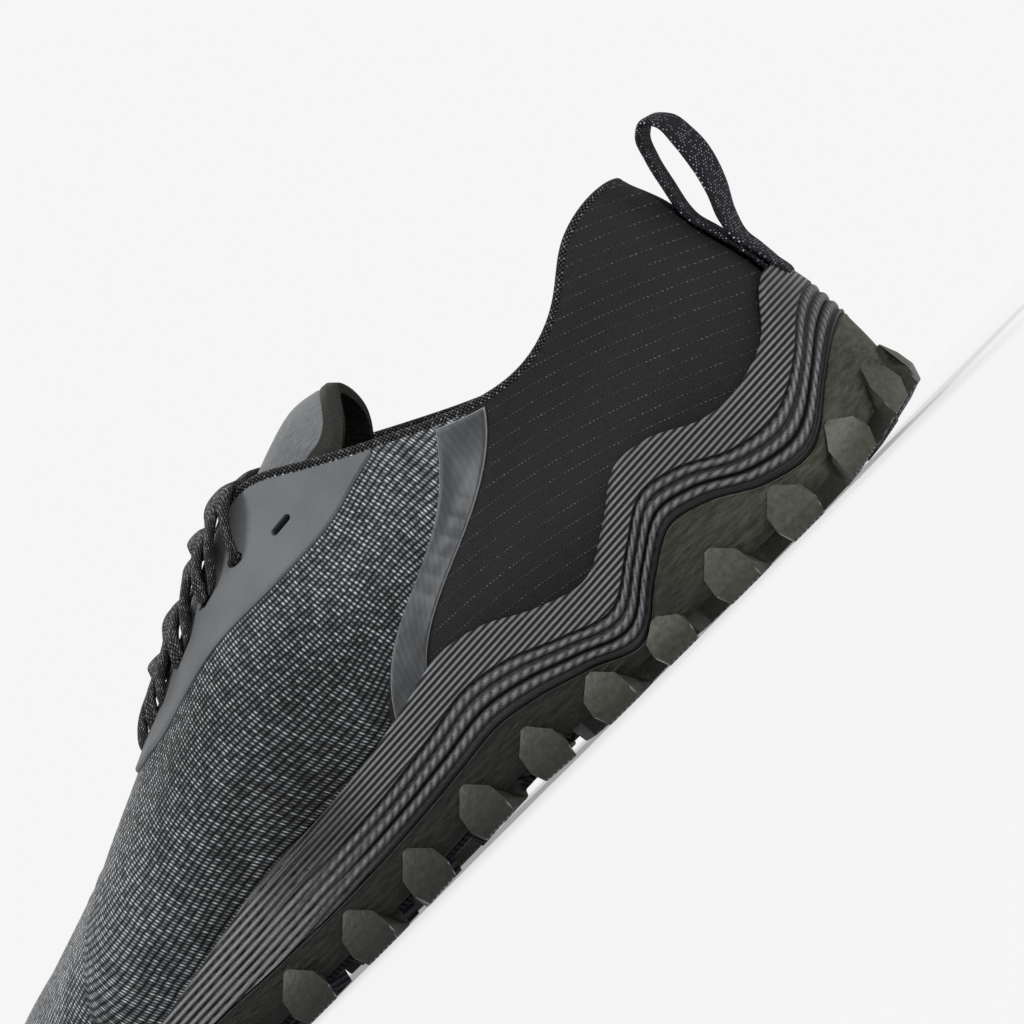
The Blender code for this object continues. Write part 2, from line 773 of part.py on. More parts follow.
def stud(along, across, top=0.6 * RUBBER_BASE):
    corners = [(STUD_RADIUS * math.cos(math.radians(72 * k)), STUD_RADIUS * math.sin(math.radians(72 * k)))
               for k in range(5)]
    x, y = on_tread(along, across)
    return block(x, y, corners, top)


def insert_plate(name, rows, finish, per_row=2):
    """Flat plate of rubber lying just under the base of the outsole."""
    places = [row[0] for row in rows]
    fine = np.linspace(places[0], places[-1], (len(rows) - 1) * per_row + 1)
    outer = table_at(places, [row[1] for row in rows], fine)
    inner = table_at(places, [row[2] for row in rows], fine)
    points = []
    for along, low, high in zip(fine, outer, inner):
        top = float(base_height(np.array([along]))[0]) - CLEARANCE
        for across in (low, high):
            x, y = on_tread(along, across)
            points.append((x, y, top))
            points.append((x, y, top - INSERT_THICKNESS))
    faces = []
    count = len(fine)
    for i in range(count - 1):
        a = 4 * i
        b = a + 4
        faces.append((a, a + 2, b + 2, b))
        faces.append((a + 1, b + 1, b + 3, a + 3))
        faces.append((a, b, b + 1, a + 1))
        faces.append((a + 2, a + 3, b + 3, b + 2))
    last = 4 * (count - 1)
    faces.append((0, 1, 3, 2))
    faces.append((last, last + 2, last + 3, last + 1))
    return add_object(name, points, faces, finish)


def build_inserts():
    plate = insert_plate("forefoot_tread", FOREFOOT_INSERT, "forefoot_tread")
    top = -CLEARANCE - 0.7 * INSERT_THICKNESS
    lugs = [lug for along, outer, inner, slant in BLADE_ROWS if along > 0.40
            for lug in blade_pair(along, outer, inner, slant, top)]
    lugs.extend(stud(along, across, top) for along, across in STUD_ROWS if along > 0.40)
    add_union(plate, hull_object("insert_lugs", lugs, "forefoot_tread"))
    insert_plate("midfoot_grip", MIDFOOT_INSERT, "midfoot_grip")
    accent = stud(ACCENT_ALONG, ACCENT_ACROSS, -2 * CLEARANCE - INSERT_THICKNESS)
    hull = hull_object("tread_accent", [accent], "tread_accent")
    hull.hide_render = False


def build_upper():
    """One hollow shell: outer face, inner face, feather edge and top edge."""
    ring = ring_samples(UPPER_SAMPLES)
    count = len(ring)
    shares = np.linspace(0.0, 1.0, UPPER_BANDS + 1)
    outer = upper_surface(ring[None, :], shares[:, None])
    keep = np.arange((UPPER_BANDS + 1) * count)
    first_closed = THROAT_ROW * UPPER_SAMPLES
    top_start = UPPER_BANDS * count
    for i in range(first_closed, count // 2):
        keep[top_start + count - i] = top_start + i
    points = outer.reshape(-1, 3)
    faces = []
    for level in range(UPPER_BANDS):
        for i in range(count):
            j = (i + 1) % count
            low = level * count
            high = low + count
            face = [keep[low + j], keep[low + i], keep[high + i], keep[high + j]]
            faces.append(list(dict.fromkeys(face)))
    normals = vertex_normals(points, faces)
    inside = points - UPPER_WALL * normals
    inside[:count, 2] = points[:count, 2]
    shift = len(points)
    all_points = np.concatenate((points, inside))
    all_faces = list(faces)
    all_faces.extend([index + shift for index in reversed(face)] for face in faces)
    for i in range(count):
        j = (i + 1) % count
        all_faces.append([i, i + shift, j + shift, j])
        inside_closed = first_closed <= i < count - first_closed
        if not inside_closed:
            a = keep[top_start + i]
            b = keep[top_start + j]
            all_faces.append([a, b, b + shift, a + shift])
    used = sorted({index for face in all_faces for index in face})
    renumber = {old: new for new, old in enumerate(used)}
    final_faces = [[renumber[index] for index in face] for face in all_faces]
    return add_object("upper", all_points[used], final_faces, "upper")


def vertex_normals(points, faces):
    normals = np.zeros_like(points)
    for face in faces:
        corner = points[list(face)]
        normal = np.zeros(3)
        for k in range(1, len(face) - 1):
            normal += np.cross(corner[k] - corner[0], corner[k + 1] - corner[0])
        normals[list(face)] += normal
    size = np.maximum(np.linalg.norm(normals, axis=1, keepdims=True), 1e-12)
    return normals / size


def build_insole():
    ring = ring_samples(INSOLE_SAMPLES)
    edge, _ = outline(ring)
    along = -edge[:, 0] / LENGTH
    inset = -(FEATHER_INSET + UPPER_WALL + 2 * CLEARANCE) * np.ones(len(ring))
    bottom = footbed_height(along) + CLEARANCE
    rings = [
        wall_ring(ring, inset, bottom),
        wall_ring(ring, inset, bottom + 0.75 * INSOLE_THICKNESS),
        wall_ring(ring, inset - 0.25 * INSOLE_THICKNESS, bottom + INSOLE_THICKNESS),
    ]
    return ring_stack("insole", rings, "insole")


def patch(name, rings, shares, finish):
    """Thin overlay lying just over the upper, on a grid of ring numbers and height shares."""
    rows, columns = rings.shape
    face = upper_surface(rings, shares)
    normal = upper_normal(rings, shares)
    low = (face + OVERLAY_GAP * normal).reshape(-1, 3)
    high = (face + (OVERLAY_GAP + OVERLAY_THICKNESS) * normal).reshape(-1, 3)
    return sheet_body(name, high, low, rows, columns, finish)


def sheet_body(name, high, low, rows, columns, finish):
    """Closed body between two grids of points."""
    shift = rows * columns
    faces = []
    for i in range(rows - 1):
        for j in range(columns - 1):
            a = i * columns + j
            faces.append((a, a + 1, a + columns + 1, a + columns))
            faces.append((a + shift, a + columns + shift, a + columns + 1 + shift, a + 1 + shift))
    border = [j for j in range(columns)]
    border += [i * columns + columns - 1 for i in range(1, rows)]
    border += [(rows - 1) * columns + j for j in range(columns - 2, -1, -1)]
    border += [i * columns for i in range(rows - 2, 0, -1)]
    for a, b in zip(border, border[1:] + border[:1]):
        faces.append((b, a, a + shift, b + shift))
    return add_object(name, np.concatenate((high, low)), faces, finish)


def side_ring(rings, side):
    return rings if side == "outer" else RING - rings


def build_eyestays():
    places = np.linspace(EYESTAY[0][0], EYESTAY[-1][0], 14)
    low = table_at([row[0] for row in EYESTAY], [row[1] for row in EYESTAY], places)
    high = table_at([row[0] for row in EYESTAY], [row[2] for row in EYESTAY], places)
    steps = np.linspace(0.0, 1.0, 3)
    shares = low[:, None] + (high - low)[:, None] * steps[None, :]
    rings = np.repeat(places[:, None], len(steps), axis=1)
    for side, name in (("outer", "eyestay_lateral"), ("inner", "eyestay_medial")):
        patch(name, side_ring(rings, side), shares, "overlay")


def build_straps():
    climb = np.linspace(0.0, 1.0, 9)
    across = np.array([-1.0, 0.0, 1.0])
    for side, name in (("outer", "strap_lateral"), ("inner", "strap_medial")):
        middle = STRAP_FOOT_RING + (STRAP_TOP_RING - STRAP_FOOT_RING) * climb
        rings = middle[:, None] + STRAP_HALF_RINGS * across[None, :]
        foot = rim_share(side_ring(rings[0], side)) + 0.045
        shares = foot[None, :] + (STRAP_HEAD - foot)[None, :] * climb[:, None]
        patch(name, side_ring(rings, side), shares, "strap")


def build_toe_cap():
    rings = np.linspace(TOE_CAP_START, RING - TOE_CAP_START, 16)
    ends = np.abs(rings - LAST_ROW) / (LAST_ROW - TOE_CAP_START)
    foot = rim_share(rings) + 0.06
    head = foot + TOE_CAP_HEIGHT * (0.12 + 0.88 * np.sqrt(np.clip(1.0 - ends ** 2, 0.0, 1.0)))
    steps = np.linspace(0.0, 1.0, 3)
    shares = foot[:, None] + (head - foot)[:, None] * steps[None, :]
    patch("toe_cap", np.repeat(rings[:, None], len(steps), axis=1), shares, "overlay")


def tongue_under(ring):
    """Points across the tongue where it lies under the throat's edges, arched between them."""
    tuck = TONGUE_TUCK * (0.45 + 0.55 * float(smooth_step((ring - TONGUE_EXIT_RING) / 1.2)))
    shares = np.array([1.0 - tuck, 1.0 - 0.5 * tuck, 1.0])
    under_vamp = float(smooth_step((ring - THROAT_ROW + 0.8) / 0.6))
    depth = UPPER_WALL + (6 + 4 * under_vamp) * CLEARANCE
    left, right = [], []
    for name, line in (("outer", left), ("inner", right)):
        rings = side_ring(np.full(3, float(ring)), name)
        line.extend(upper_surface(rings, shares) - upper_normal(rings, shares) * depth)
    crown = TONGUE_CROWN * float(smooth_step((THROAT_ROW - 0.35 - ring) / 1.2))
    middle = 0.5 * (left[-1] + right[-1]) + np.array((0.0, 0.0, crown))
    arch = np.array((0.0, 0.0, 0.22 * crown))
    between_left = 0.5 * (left[-1] + middle) + arch
    between_right = 0.5 * (right[-1] + middle) + arch
    return np.array([left[0], left[1], between_left, middle, between_right, right[1], right[0]])


def tongue_free(root, share):
    """Points across the tongue behind the throat, free inside the collar."""
    places = np.array([-1.0, -0.72, -0.38, 0.0, 0.38, 0.72, 1.0])
    half = TONGUE_HALF_WIDTH * (0.90 + 0.10 * share)
    middle = root[3] + np.array((TONGUE_REACH * share, 0.0, TONGUE_RISE * share))
    line = np.repeat(middle[None, :], len(places), axis=0)
    line[:, 1] += half * places
    line[:, 2] -= TONGUE_DROP * np.abs(places) ** 1.8
    line[:, 0] += TONGUE_TOP_CURVE * share * (1.0 - places ** 2) * -1.0
    return line


def build_tongue():
    rings = np.linspace(TONGUE_ROOT_RING, TONGUE_EXIT_RING, 8)
    root = tongue_under(TONGUE_EXIT_RING)
    lines = [tongue_under(ring) for ring in rings]
    lines += [tongue_free(root, share) for share in (0.36, 0.68, 1.0)]
    lines = np.array(lines)
    rows, columns, _ = lines.shape
    points = lines.reshape(-1, 3)
    faces = [(i * columns + j, i * columns + j + 1, (i + 1) * columns + j + 1, (i + 1) * columns + j)
             for i in range(rows - 1) for j in range(columns - 1)]
    normals = vertex_normals(points, faces)
    if normals[:, 2].mean() < 0:
        normals = -normals
    low = points - TONGUE_THICKNESS * normals
    return sheet_body("tongue", points, low, rows, columns, "tongue")


def tube(name, path, sides, radii, finish, closed, tallness=1.0):
    """Closed tube through a path, with its cross section kept upright."""
    count = len(path)
    points = []
    for i in range(count):
        before = path[(i - 1) % count] if closed or i > 0 else path[i]
        after = path[(i + 1) % count] if closed or i < count - 1 else path[i]
        run = after - before
        run = run / np.linalg.norm(run)
        side = np.cross(run, (0.0, 0.0, 1.0))
        side = side / max(np.linalg.norm(side), 1e-9)
        lift = np.cross(side, run)
        for k in range(sides):
            turn = 2 * math.pi * (k + 0.5) / sides
            points.append(path[i] + side * radii[i] * math.cos(turn)
                          + lift * radii[i] * tallness * math.sin(turn))
    faces = []
    for i in range(count if closed else count - 1):
        j = (i + 1) % count
        for k in range(sides):
            m = (k + 1) % sides
            faces.append((i * sides + k, i * sides + m, j * sides + m, j * sides + k))
    if not closed:
        faces.append(tuple(range(sides)))
        faces.append(tuple((count - 1) * sides + k for k in range(sides)))
    return add_object(name, points, faces, finish)


def build_binding():
    """Braided piping on the whole top edge, closed at the base of the throat."""
    steps = THROAT_ROW * UPPER_SAMPLES - 1
    span = np.arange(-steps, steps + 1) / UPPER_SAMPLES
    rings = np.mod(span, RING)
    row = np.abs(span)
    radii = COLLAR_BINDING_RADIUS + (THROAT_BINDING_RADIUS - COLLAR_BINDING_RADIUS) * smooth_step(
        (row - 5.5) / 1.5)
    step = 0.05
    edge, _ = top_line(rings)
    run = top_line(rings + step)[0] - top_line(rings - step)[0]
    normal = upper_normal(rings, np.full(len(rings), 0.99))
    climb = np.cross(run, normal)
    climb = climb / np.linalg.norm(climb, axis=1, keepdims=True)
    inner = -0.5 * UPPER_WALL * normal
    path = edge + inner + climb * (radii + 3 * CLEARANCE)[:, None]
    base, _ = top_line(np.array([float(THROAT_ROW)]))
    turn = base[0] + np.array((THROAT_BINDING_RADIUS + 3 * CLEARANCE, 0.0, 2 * CLEARANCE))
    path = np.concatenate((path, turn[None, :]))
    radii = np.append(radii, THROAT_BINDING_RADIUS)
    return tube("collar_binding", path, 4, radii, "collar_binding", closed=True)


def build_pull_loop():
    """Webbing loop standing behind the collar, its foot on the midsole's rim."""
    ring = np.zeros(1)
    shares = np.linspace(0.0, 1.0, 101)
    back = upper_surface(ring, shares)
    rim = float(rim_height(np.zeros(1))[0])
    foot = rim + LOOP_THICKNESS
    head = HEEL_HEIGHT + LOOP_TOP
    heights = np.linspace(foot, HEEL_HEIGHT - 0.003, 4)
    lie = LOOP_THICKNESS / 2 + 3 * CLEARANCE
    path = [(float(np.interp(z, back[:, 2], back[:, 0])) + lie, z) for z in heights]
    x_top = path[-1][0]
    x_foot = path[0][0]
    rise = head - foot
    path += [
        (x_top + 0.20 * LOOP_REACH, head - 0.05 * rise),
        (x_top + 0.55 * LOOP_REACH, head),
        (x_top + 0.95 * LOOP_REACH, head - 0.07 * rise),
        (x_foot + 1.02 * LOOP_REACH, foot + 0.66 * rise),
        (x_foot + 0.92 * LOOP_REACH, foot + 0.42 * rise),
        (x_foot + 0.62 * LOOP_REACH, foot + 0.20 * rise),
        (x_foot + 0.34 * LOOP_REACH, foot + 0.02 * rise),
    ]
    points = []
    count = len(path)
    for i, (x, z) in enumerate(path):
        run = np.subtract(path[(i + 1) % count], path[(i - 1) % count])
        run = run / np.linalg.norm(run)
        out = np.array((-run[1], run[0])) * LOOP_THICKNESS / 2
        for side in (1.0, -1.0):
            for y in (-LOOP_WIDTH / 2, LOOP_WIDTH / 2):
                points.append((x + side * out[0], y * side, z + side * out[1]))
    faces = []
    for i in range(count):
        a = 4 * i
        b = 4 * ((i + 1) % count)
        for k in range(4):
            m = (k + 1) % 4
            faces.append((a + k, a + m, b + m, b + k))
    return add_object("pull_loop", points, faces, "pull_loop")


def lace_stop(ring, share, lift):
    """Point over the upper at one ring number, raised off its face."""
    ring = np.array([float(ring)])
    share = np.array([share])
    return upper_surface(ring, share)[0] + upper_normal(ring, share)[0] * lift


def lace_path(first_side):
    """Zigzag of one lace end down the throat, over the eyestays, the binding and the tongue."""
    sides = ("outer", "inner")
    start = sides.index(first_side)
    low = OVERLAY_GAP + OVERLAY_THICKNESS + 2 * CLEARANCE + LACE_WIDTH / 2
    high = 2 * THROAT_BINDING_RADIUS + 3 * CLEARANCE + LACE_THICKNESS / 2
    path = []
    for step in range(len(LACE_RINGS) - 1):
        side = sides[(start + step) % 2]
        other = sides[(start + step + 1) % 2]
        leave = LACE_RINGS[step]
        reach = LACE_RINGS[step + 1]
        turn = 0.2 * (reach - leave)
        a = lace_stop(side_ring(leave + turn, side), 1.0, high)
        b = lace_stop(side_ring(reach - turn, other), 1.0, high)
        middle = 0.5 * (a + b)
        middle[2] += TONGUE_CROWN
        path.append(lace_stop(side_ring(leave, side), LACE_SHARE, low))
        path.append(a)
        path.append(0.5 * (a + middle) + np.array((0.0, 0.0, 0.25 * TONGUE_CROWN)))
        path.append(middle)
        path.append(0.5 * (b + middle) + np.array((0.0, 0.0, 0.25 * TONGUE_CROWN)))
        path.append(b)
    path.append(lace_stop(side_ring(LACE_RINGS[-1], other), LACE_SHARE, low))
    return np.array(path)


def build_laces():
    sides = 4
    bodies = []
    for name, first in (("laces", "outer"), ("lace_crossing", "inner")):
        path = lace_path(first)
        radii = np.full(len(path), LACE_WIDTH / 2)
        bodies.append(tube(name, path, sides, radii, "laces", False, LACE_THICKNESS / LACE_WIDTH))
    add_union(bodies[0], bodies[1])


def stand_on_floor():
    """Centres the shoe over the origin, with its lowest lugs on the floor."""
    low = np.full(3, 1e9)
    high = np.full(3, -1e9)
    for item in bpy.data.objects:
        places = np.array([tuple(vertex.co) for vertex in item.data.vertices])
        low = np.minimum(low, places.min(axis=0))
        high = np.maximum(high, places.max(axis=0))
    shift = (-(low[0] + high[0]) / 2, -(low[1] + high[1]) / 2, -low[2])
    for item in bpy.data.objects:
        item.location = shift


def main():
    clear_scene()
    build_outsole()
    build_inserts()
    build_midsole()
    build_upper()
    build_insole()
    build_eyestays()
    build_straps()
    build_toe_cap()
    build_tongue()
    build_binding()
    build_pull_loop()
    build_laces()
    stand_on_floor()


main()
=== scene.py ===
import math

import bmesh
import bpy
import numpy as np
from mathutils import Matrix, Vector


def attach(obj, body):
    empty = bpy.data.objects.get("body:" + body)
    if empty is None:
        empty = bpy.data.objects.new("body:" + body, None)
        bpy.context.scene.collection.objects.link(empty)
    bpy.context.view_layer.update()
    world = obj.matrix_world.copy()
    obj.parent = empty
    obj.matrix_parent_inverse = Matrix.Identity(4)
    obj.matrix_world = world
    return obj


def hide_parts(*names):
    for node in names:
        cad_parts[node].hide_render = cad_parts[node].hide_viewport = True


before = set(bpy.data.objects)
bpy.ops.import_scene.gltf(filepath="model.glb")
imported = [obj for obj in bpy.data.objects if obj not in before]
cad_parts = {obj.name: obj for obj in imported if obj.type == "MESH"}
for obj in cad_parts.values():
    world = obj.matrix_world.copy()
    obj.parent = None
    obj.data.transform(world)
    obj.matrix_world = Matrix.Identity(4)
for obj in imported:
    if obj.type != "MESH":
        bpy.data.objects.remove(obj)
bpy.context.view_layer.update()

# Sizes of the shoe, in metres. Its own frame has the heel at x = 0 and the toe at -x, and SHIFT
# moves it over the origin.
SHIFT = np.array((0.147585, 0.000362, 0.0))
LENGTH = 0.300
BALL_WIDTH = 0.108
WAIST_WIDTH = 0.079
HEEL_WIDTH = 0.087
HEEL_STACK = 0.0240
BALL_STACK = 0.0175
RIM_HEIGHT = 0.040
HEEL_HEIGHT = 0.0865
INSTEP_HEIGHT = 0.100
TOE_HEIGHT = 0.0445
TOE_SPRING = 0.012
HEEL_BEVEL = 0.0055
ARCH_RISE = 0.0015
CLEARANCE = 0.0003
UPPER_WALL = 0.0024
FEATHER_INSET = 0.0062
RIM_INSET = 0.0037
RUBBER_WALL = 0.0022
RUBBER_BASE = 0.0020
CORNER = 0.0020
INSOLE_THICKNESS = 0.0040
TONGUE_THICKNESS = 0.0042
TONGUE_RISE = 0.0052
TONGUE_REACH = 0.031
TONGUE_CROWN = 0.0032
TONGUE_HALF_WIDTH = 0.0185
TONGUE_DROP = 0.0135
OVERLAY_THICKNESS = 0.0008
OVERLAY_GAP = 0.0002
LUG_DEPTH = 0.0048
LUG_PITCH = 0.0194
LUG_PROUD = 0.0028
SIDE_LUG_HEIGHT = 0.0125
SIDE_LUG_WIDTH = 0.0115
EDGE_LUG_REACH = 0.0110
EDGE_LUG_SKEW = 0.0035
BLADE_LENGTH = 0.0195
BLADE_WIDTH = 0.0070
STUD_RADIUS = 0.0050
INSERT_THICKNESS = 0.0012
COLLAR_BINDING_RADIUS = 0.0012
THROAT_BINDING_RADIUS = 0.0016
LOOP_WIDTH = 0.012
LOOP_THICKNESS = 0.0016
LACE_WIDTH = 0.0062
LACE_THICKNESS = 0.0024

# Sections round the shoe, from the middle of the heel to the tip of the toe.
# along: share of the length. across: share of the local sole width, outer side negative.
# top_half and top_centre: shares of the ball width. top_height: share of the named height.
# lean: degrees from upright at the top line. flare: degrees outward at the feather edge.
SECTION_COLUMNS = ("outer_along", "outer_across", "inner_along", "inner_across", "top_along",
                   "top_half", "top_centre", "height_of", "top_height", "lean", "flare")
SECTIONS = (
    (0.000, 0.000, 0.000, 0.000, 0.047, 0.000, 0.000, "heel", 1.000, 12, 5),
    (0.023, -0.276, 0.023, 0.264, 0.058, 0.122, 0.000, "heel", 1.002, 11, 6),
    (0.085, -0.448, 0.085, 0.437, 0.098, 0.200, 0.000, "heel", 0.968, 9, 8),
    (0.160, -0.497, 0.160, 0.485, 0.136, 0.237, 0.000, "heel", 0.868, 8, 9),
    (0.240, -0.515, 0.240, 0.468, 0.190, 0.259, 0.000, "instep", 0.700, 10, 9),
    (0.320, -0.540, 0.320, 0.455, 0.253, 0.252, 0.005, "instep", 0.742, 15, 8),
    (0.400, -0.566, 0.400, 0.437, 0.317, 0.230, 0.010, "instep", 0.832, 23, 7),
    (0.475, -0.567, 0.475, 0.436, 0.375, 0.200, 0.015, "instep", 0.925, 33, 7),
    (0.550, -0.548, 0.550, 0.452, 0.423, 0.170, 0.020, "instep", 0.990, 43, 8),
    (0.630, -0.518, 0.630, 0.470, 0.483, 0.140, 0.020, "instep", 0.945, 52, 9),
    (0.715, -0.500, 0.715, 0.495, 0.560, 0.118, 0.025, "instep", 0.840, 62, 10),
    (0.800, -0.450, 0.795, 0.486, 0.632, 0.112, 0.030, "instep", 0.738, 88, 10),
    (0.875, -0.353, 0.872, 0.436, 0.722, 0.000, 0.045, "instep", 0.635, 90, 9),
    (0.940, -0.200, 0.940, 0.348, 0.812, 0.000, 0.070, "toe", 1.215, 90, 8),
    (0.985, -0.028, 0.985, 0.229, 0.885, 0.000, 0.092, "toe", 1.030, 90, 7),
    (1.000, 0.105, 1.000, 0.105, 0.925, 0.000, 0.102, "toe", 0.880, 90, 6),
)
THROAT_ROW = 11
LAST_ROW = len(SECTIONS) - 1
RING = 2 * LAST_ROW

# Rim of the midsole and top edge of the rubber: along, rim and rubber as shares of RIM_HEIGHT
WAVE = (
    (0.000, 1.225, 0.720), (0.010, 1.170, 0.660), (0.033, 0.960, 0.510), (0.067, 0.840, 0.300),
    (0.110, 0.840, 0.330), (0.153, 0.985, 0.500), (0.183, 1.005, 0.550), (0.220, 0.830, 0.400),
    (0.257, 0.680, 0.200), (0.303, 0.760, 0.300), (0.343, 0.910, 0.390), (0.380, 0.965, 0.440),
    (0.430, 0.890, 0.410), (0.483, 0.825, 0.375), (0.540, 0.790, 0.355), (0.590, 0.780, 0.355),
    (0.657, 0.700, 0.370), (0.723, 0.620, 0.390), (0.800, 0.560, 0.400), (0.900, 0.550, 0.440),
    (1.000, 0.585, 0.500),
)
WIDTH_PLACES = (0.18, 0.40, 0.70)
FOOTBED_DROP = ((0.00, 0.0), (0.22, 0.0), (0.45, 0.42), (0.68, 1.0), (1.00, 1.0))
SPRING_START = 0.72
SPRING_POWER = 1.8
BEVEL_END = 0.090
BEVEL_POWER = 1.6
ARCH_START = 0.31
ARCH_END = 0.53

# Overlays, as ring number, lower and upper height share
EYESTAY = (
    (6.05, 0.988, 0.997), (6.333, 0.945, 0.997), (6.70, 0.88, 0.997), (7.20, 0.815, 0.997),
    (7.80, 0.76, 0.997), (8.50, 0.74, 0.997), (9.20, 0.74, 0.997), (9.90, 0.77, 0.997),
    (10.40, 0.82, 0.997), (10.72, 0.88, 0.990),
)
# Where the knit's rows run, ahead of the eyestay's rear tip: ring number and height share,
# and how fast they climb behind that tip
KNIT_LINE = ((6.333, 0.945), (6.70, 0.880), (7.20, 0.815), (7.80, 0.760), (8.50, 0.735),
             (9.50, 0.725), (11.00, 0.735), (13.00, 0.760), (15.00, 0.780))
KNIT_REAR_SLOPE = 0.155
TONGUE_TUCK = 0.16
TONGUE_ROOT_RING = 10.88
TONGUE_EXIT_RING = 8.1
STRAP_TOP_RING = 4.95
STRAP_FOOT_RING = 6.30
STRAP_HALF_RINGS = 0.26
STRAP_HEAD = 0.965
TOE_CAP_START = 12.1
TOE_CAP_HEIGHT = 0.30
LACE_RINGS = (8.00, 8.70, 9.38, 10.05, 10.60)
LACE_SHARE = 0.885
LACE_LEAD = 0.11
SPARE_SLOT_RING = 7.36
SPARE_SLOT_SHARE = 0.905
SPARE_SLOT_TURN = 33.0
SLOT_LENGTH = 0.0062
SLOT_WIDTH = 0.0019
LACE_SLOT_LENGTH = 0.0066
LACE_SLOT_WIDTH = 0.0030
TOP_SLOT_LENGTH = 0.004356
SLOT_PUNCH = (-0.0045, 0.0030)

# Midfoot plate: along, and its two edges as shares of the half width
MIDFOOT_INSERT = (
    (0.325, 0.24, 0.82), (0.355, 0.12, 0.90), (0.430, 0.10, 0.92), (0.490, 0.22, 0.90),
    (0.522, 0.56, 0.86),
)
# Rows of blades under the heel: along, outer and inner blade centres, slant in degrees
BLADE_ROWS = (
    (0.100, -0.28, 0.30, 30), (0.160, -0.44, 0.44, 36), (0.222, -0.42, 0.44, -34),
    (0.284, -0.46, 0.42, 36), (0.346, -0.44, None, -32),
)
# Studs under the heel: along, and across as a share of the half width
STUD_ROWS = ((0.135, 0.04), (0.195, 0.00), (0.255, 0.02), (0.315, -0.08))

# Soft troughs (negative depth: ridges) in the upper, each from one ring and height share to
# another, with its depth and half width in metres
CREASES = (
    (5.20, 0.86, 5.95, 0.42, 0.0011, 0.0050),
    (4.40, 0.84, 5.20, 0.40, 0.0009, 0.0055),
    (3.55, 0.78, 4.25, 0.42, 0.0008, 0.0060),
    (4.80, 0.80, 5.55, 0.46, -0.0008, 0.0050),
    (3.98, 0.80, 4.75, 0.44, -0.0007, 0.0055),
    (2.10, 0.86, 3.10, 0.62, 0.0007, 0.0060),
    (1.60, 0.80, 2.50, 0.90, -0.0013, 0.0085),
    (0.00, 0.88, 1.40, 0.84, -0.0010, 0.0080),
    (10.80, 0.94, 11.35, 0.55, 0.0008, 0.0050),
    (11.35, 0.97, 11.80, 0.60, 0.0009, 0.0055),
    (11.05, 0.95, 11.55, 0.58, -0.0006, 0.0045),
    (7.00, 0.62, 8.60, 0.45, 0.0007, 0.0070),
)

# Samples of the fine surfaces: columns between two sections, and rows over the whole height
UPPER_COLUMNS = 14
UPPER_ROWS = 56
SOLE_COLUMNS = 42
BAND_ROWS = 58
RUBBER_COLUMNS = 14
INSOLE_COLUMNS = 10
# Steps along the braids and along the pull loop, in metres
BRAID_STEP = 0.00045
LOOP_STEP = 0.0005


def column(name):
    index = SECTION_COLUMNS.index(name)
    return [row[index] for row in SECTIONS]


def round_ring(outer, inner):
    """Values of both sides in ring order."""
    return np.array(list(outer) + list(inner)[-2:0:-1], dtype=float)


def spline_through(values):
    """Coefficients of the closed cubic spline through one value at each ring number."""
    count = len(values)
    unit = np.eye(count)
    system = (4.0 * unit + np.roll(unit, 1, axis=1) + np.roll(unit, -1, axis=1)) / 6.0
    return np.linalg.solve(system, values)


def spline_at(spline, ring):
    ring = np.asarray(ring, dtype=float)
    start = np.floor(ring).astype(int)
    part = ring - start
    weights = (
        (1 - part) ** 3 / 6,
        (3 * part ** 3 - 6 * part ** 2 + 4) / 6,
        (-3 * part ** 3 + 3 * part ** 2 + 3 * part + 1) / 6,
        part ** 3 / 6,
    )
    return sum(weight * spline[(start + step - 1) % len(spline)]
               for step, weight in enumerate(weights))


def table_at(places, values, at):
    """Smooth curve through a table, with slopes taken from the neighbouring rows."""
    places = np.asarray(places, dtype=float)
    values = np.asarray(values, dtype=float)
    at = np.clip(np.asarray(at, dtype=float), places[0], places[-1])
    slopes = np.gradient(values, places)
    row = np.clip(np.searchsorted(places, at, side="right") - 1, 0, len(places) - 2)
    width = places[row + 1] - places[row]
    part = (at - places[row]) / width
    return (values[row] * (1 + 2 * part) * (1 - part) ** 2
            + slopes[row] * width * part * (1 - part) ** 2
            + values[row + 1] * part ** 2 * (3 - 2 * part)
            + slopes[row + 1] * width * part ** 2 * (part - 1))


def smooth_step(part):
    part = np.clip(part, 0.0, 1.0)
    return part * part * (3 - 2 * part)


def local_width(along):
    heel, waist, ball = WIDTH_PLACES
    to_waist = smooth_step((along - heel) / (waist - heel))
    to_ball = smooth_step((along - waist) / (ball - waist))
    return HEEL_WIDTH + (WAIST_WIDTH - HEEL_WIDTH) * to_waist + (BALL_WIDTH - WAIST_WIDTH) * to_ball


def outline_splines():
    outer_along = np.array(column("outer_along"))
    inner_along = np.array(column("inner_along"))
    outer_y = np.array(column("outer_across")) * local_width(outer_along)
    inner_y = np.array(column("inner_across")) * local_width(inner_along)
    across = spline_through(round_ring(outer_y, inner_y))
    return spline_through(round_ring(outer_along, inner_along) * LENGTH), across


def top_splines():
    size = {"heel": HEEL_HEIGHT, "instep": INSTEP_HEIGHT, "toe": TOE_HEIGHT}
    heights = [size[name] * share for name, share in zip(column("height_of"), column("top_height"))]
    both = {
        "along": np.array(column("top_along")) * LENGTH,
        "half": np.array(column("top_half")) * BALL_WIDTH,
        "centre": np.array(column("top_centre")) * BALL_WIDTH,
        "height": np.array(heights),
        "lean": np.radians(column("lean")),
        "flare": np.radians(column("flare")),
    }
    return {name: spline_through(round_ring(values, values)) for name, values in both.items()}


OUTLINE_ALONG, OUTLINE_ACROSS = outline_splines()
TOP = top_splines()


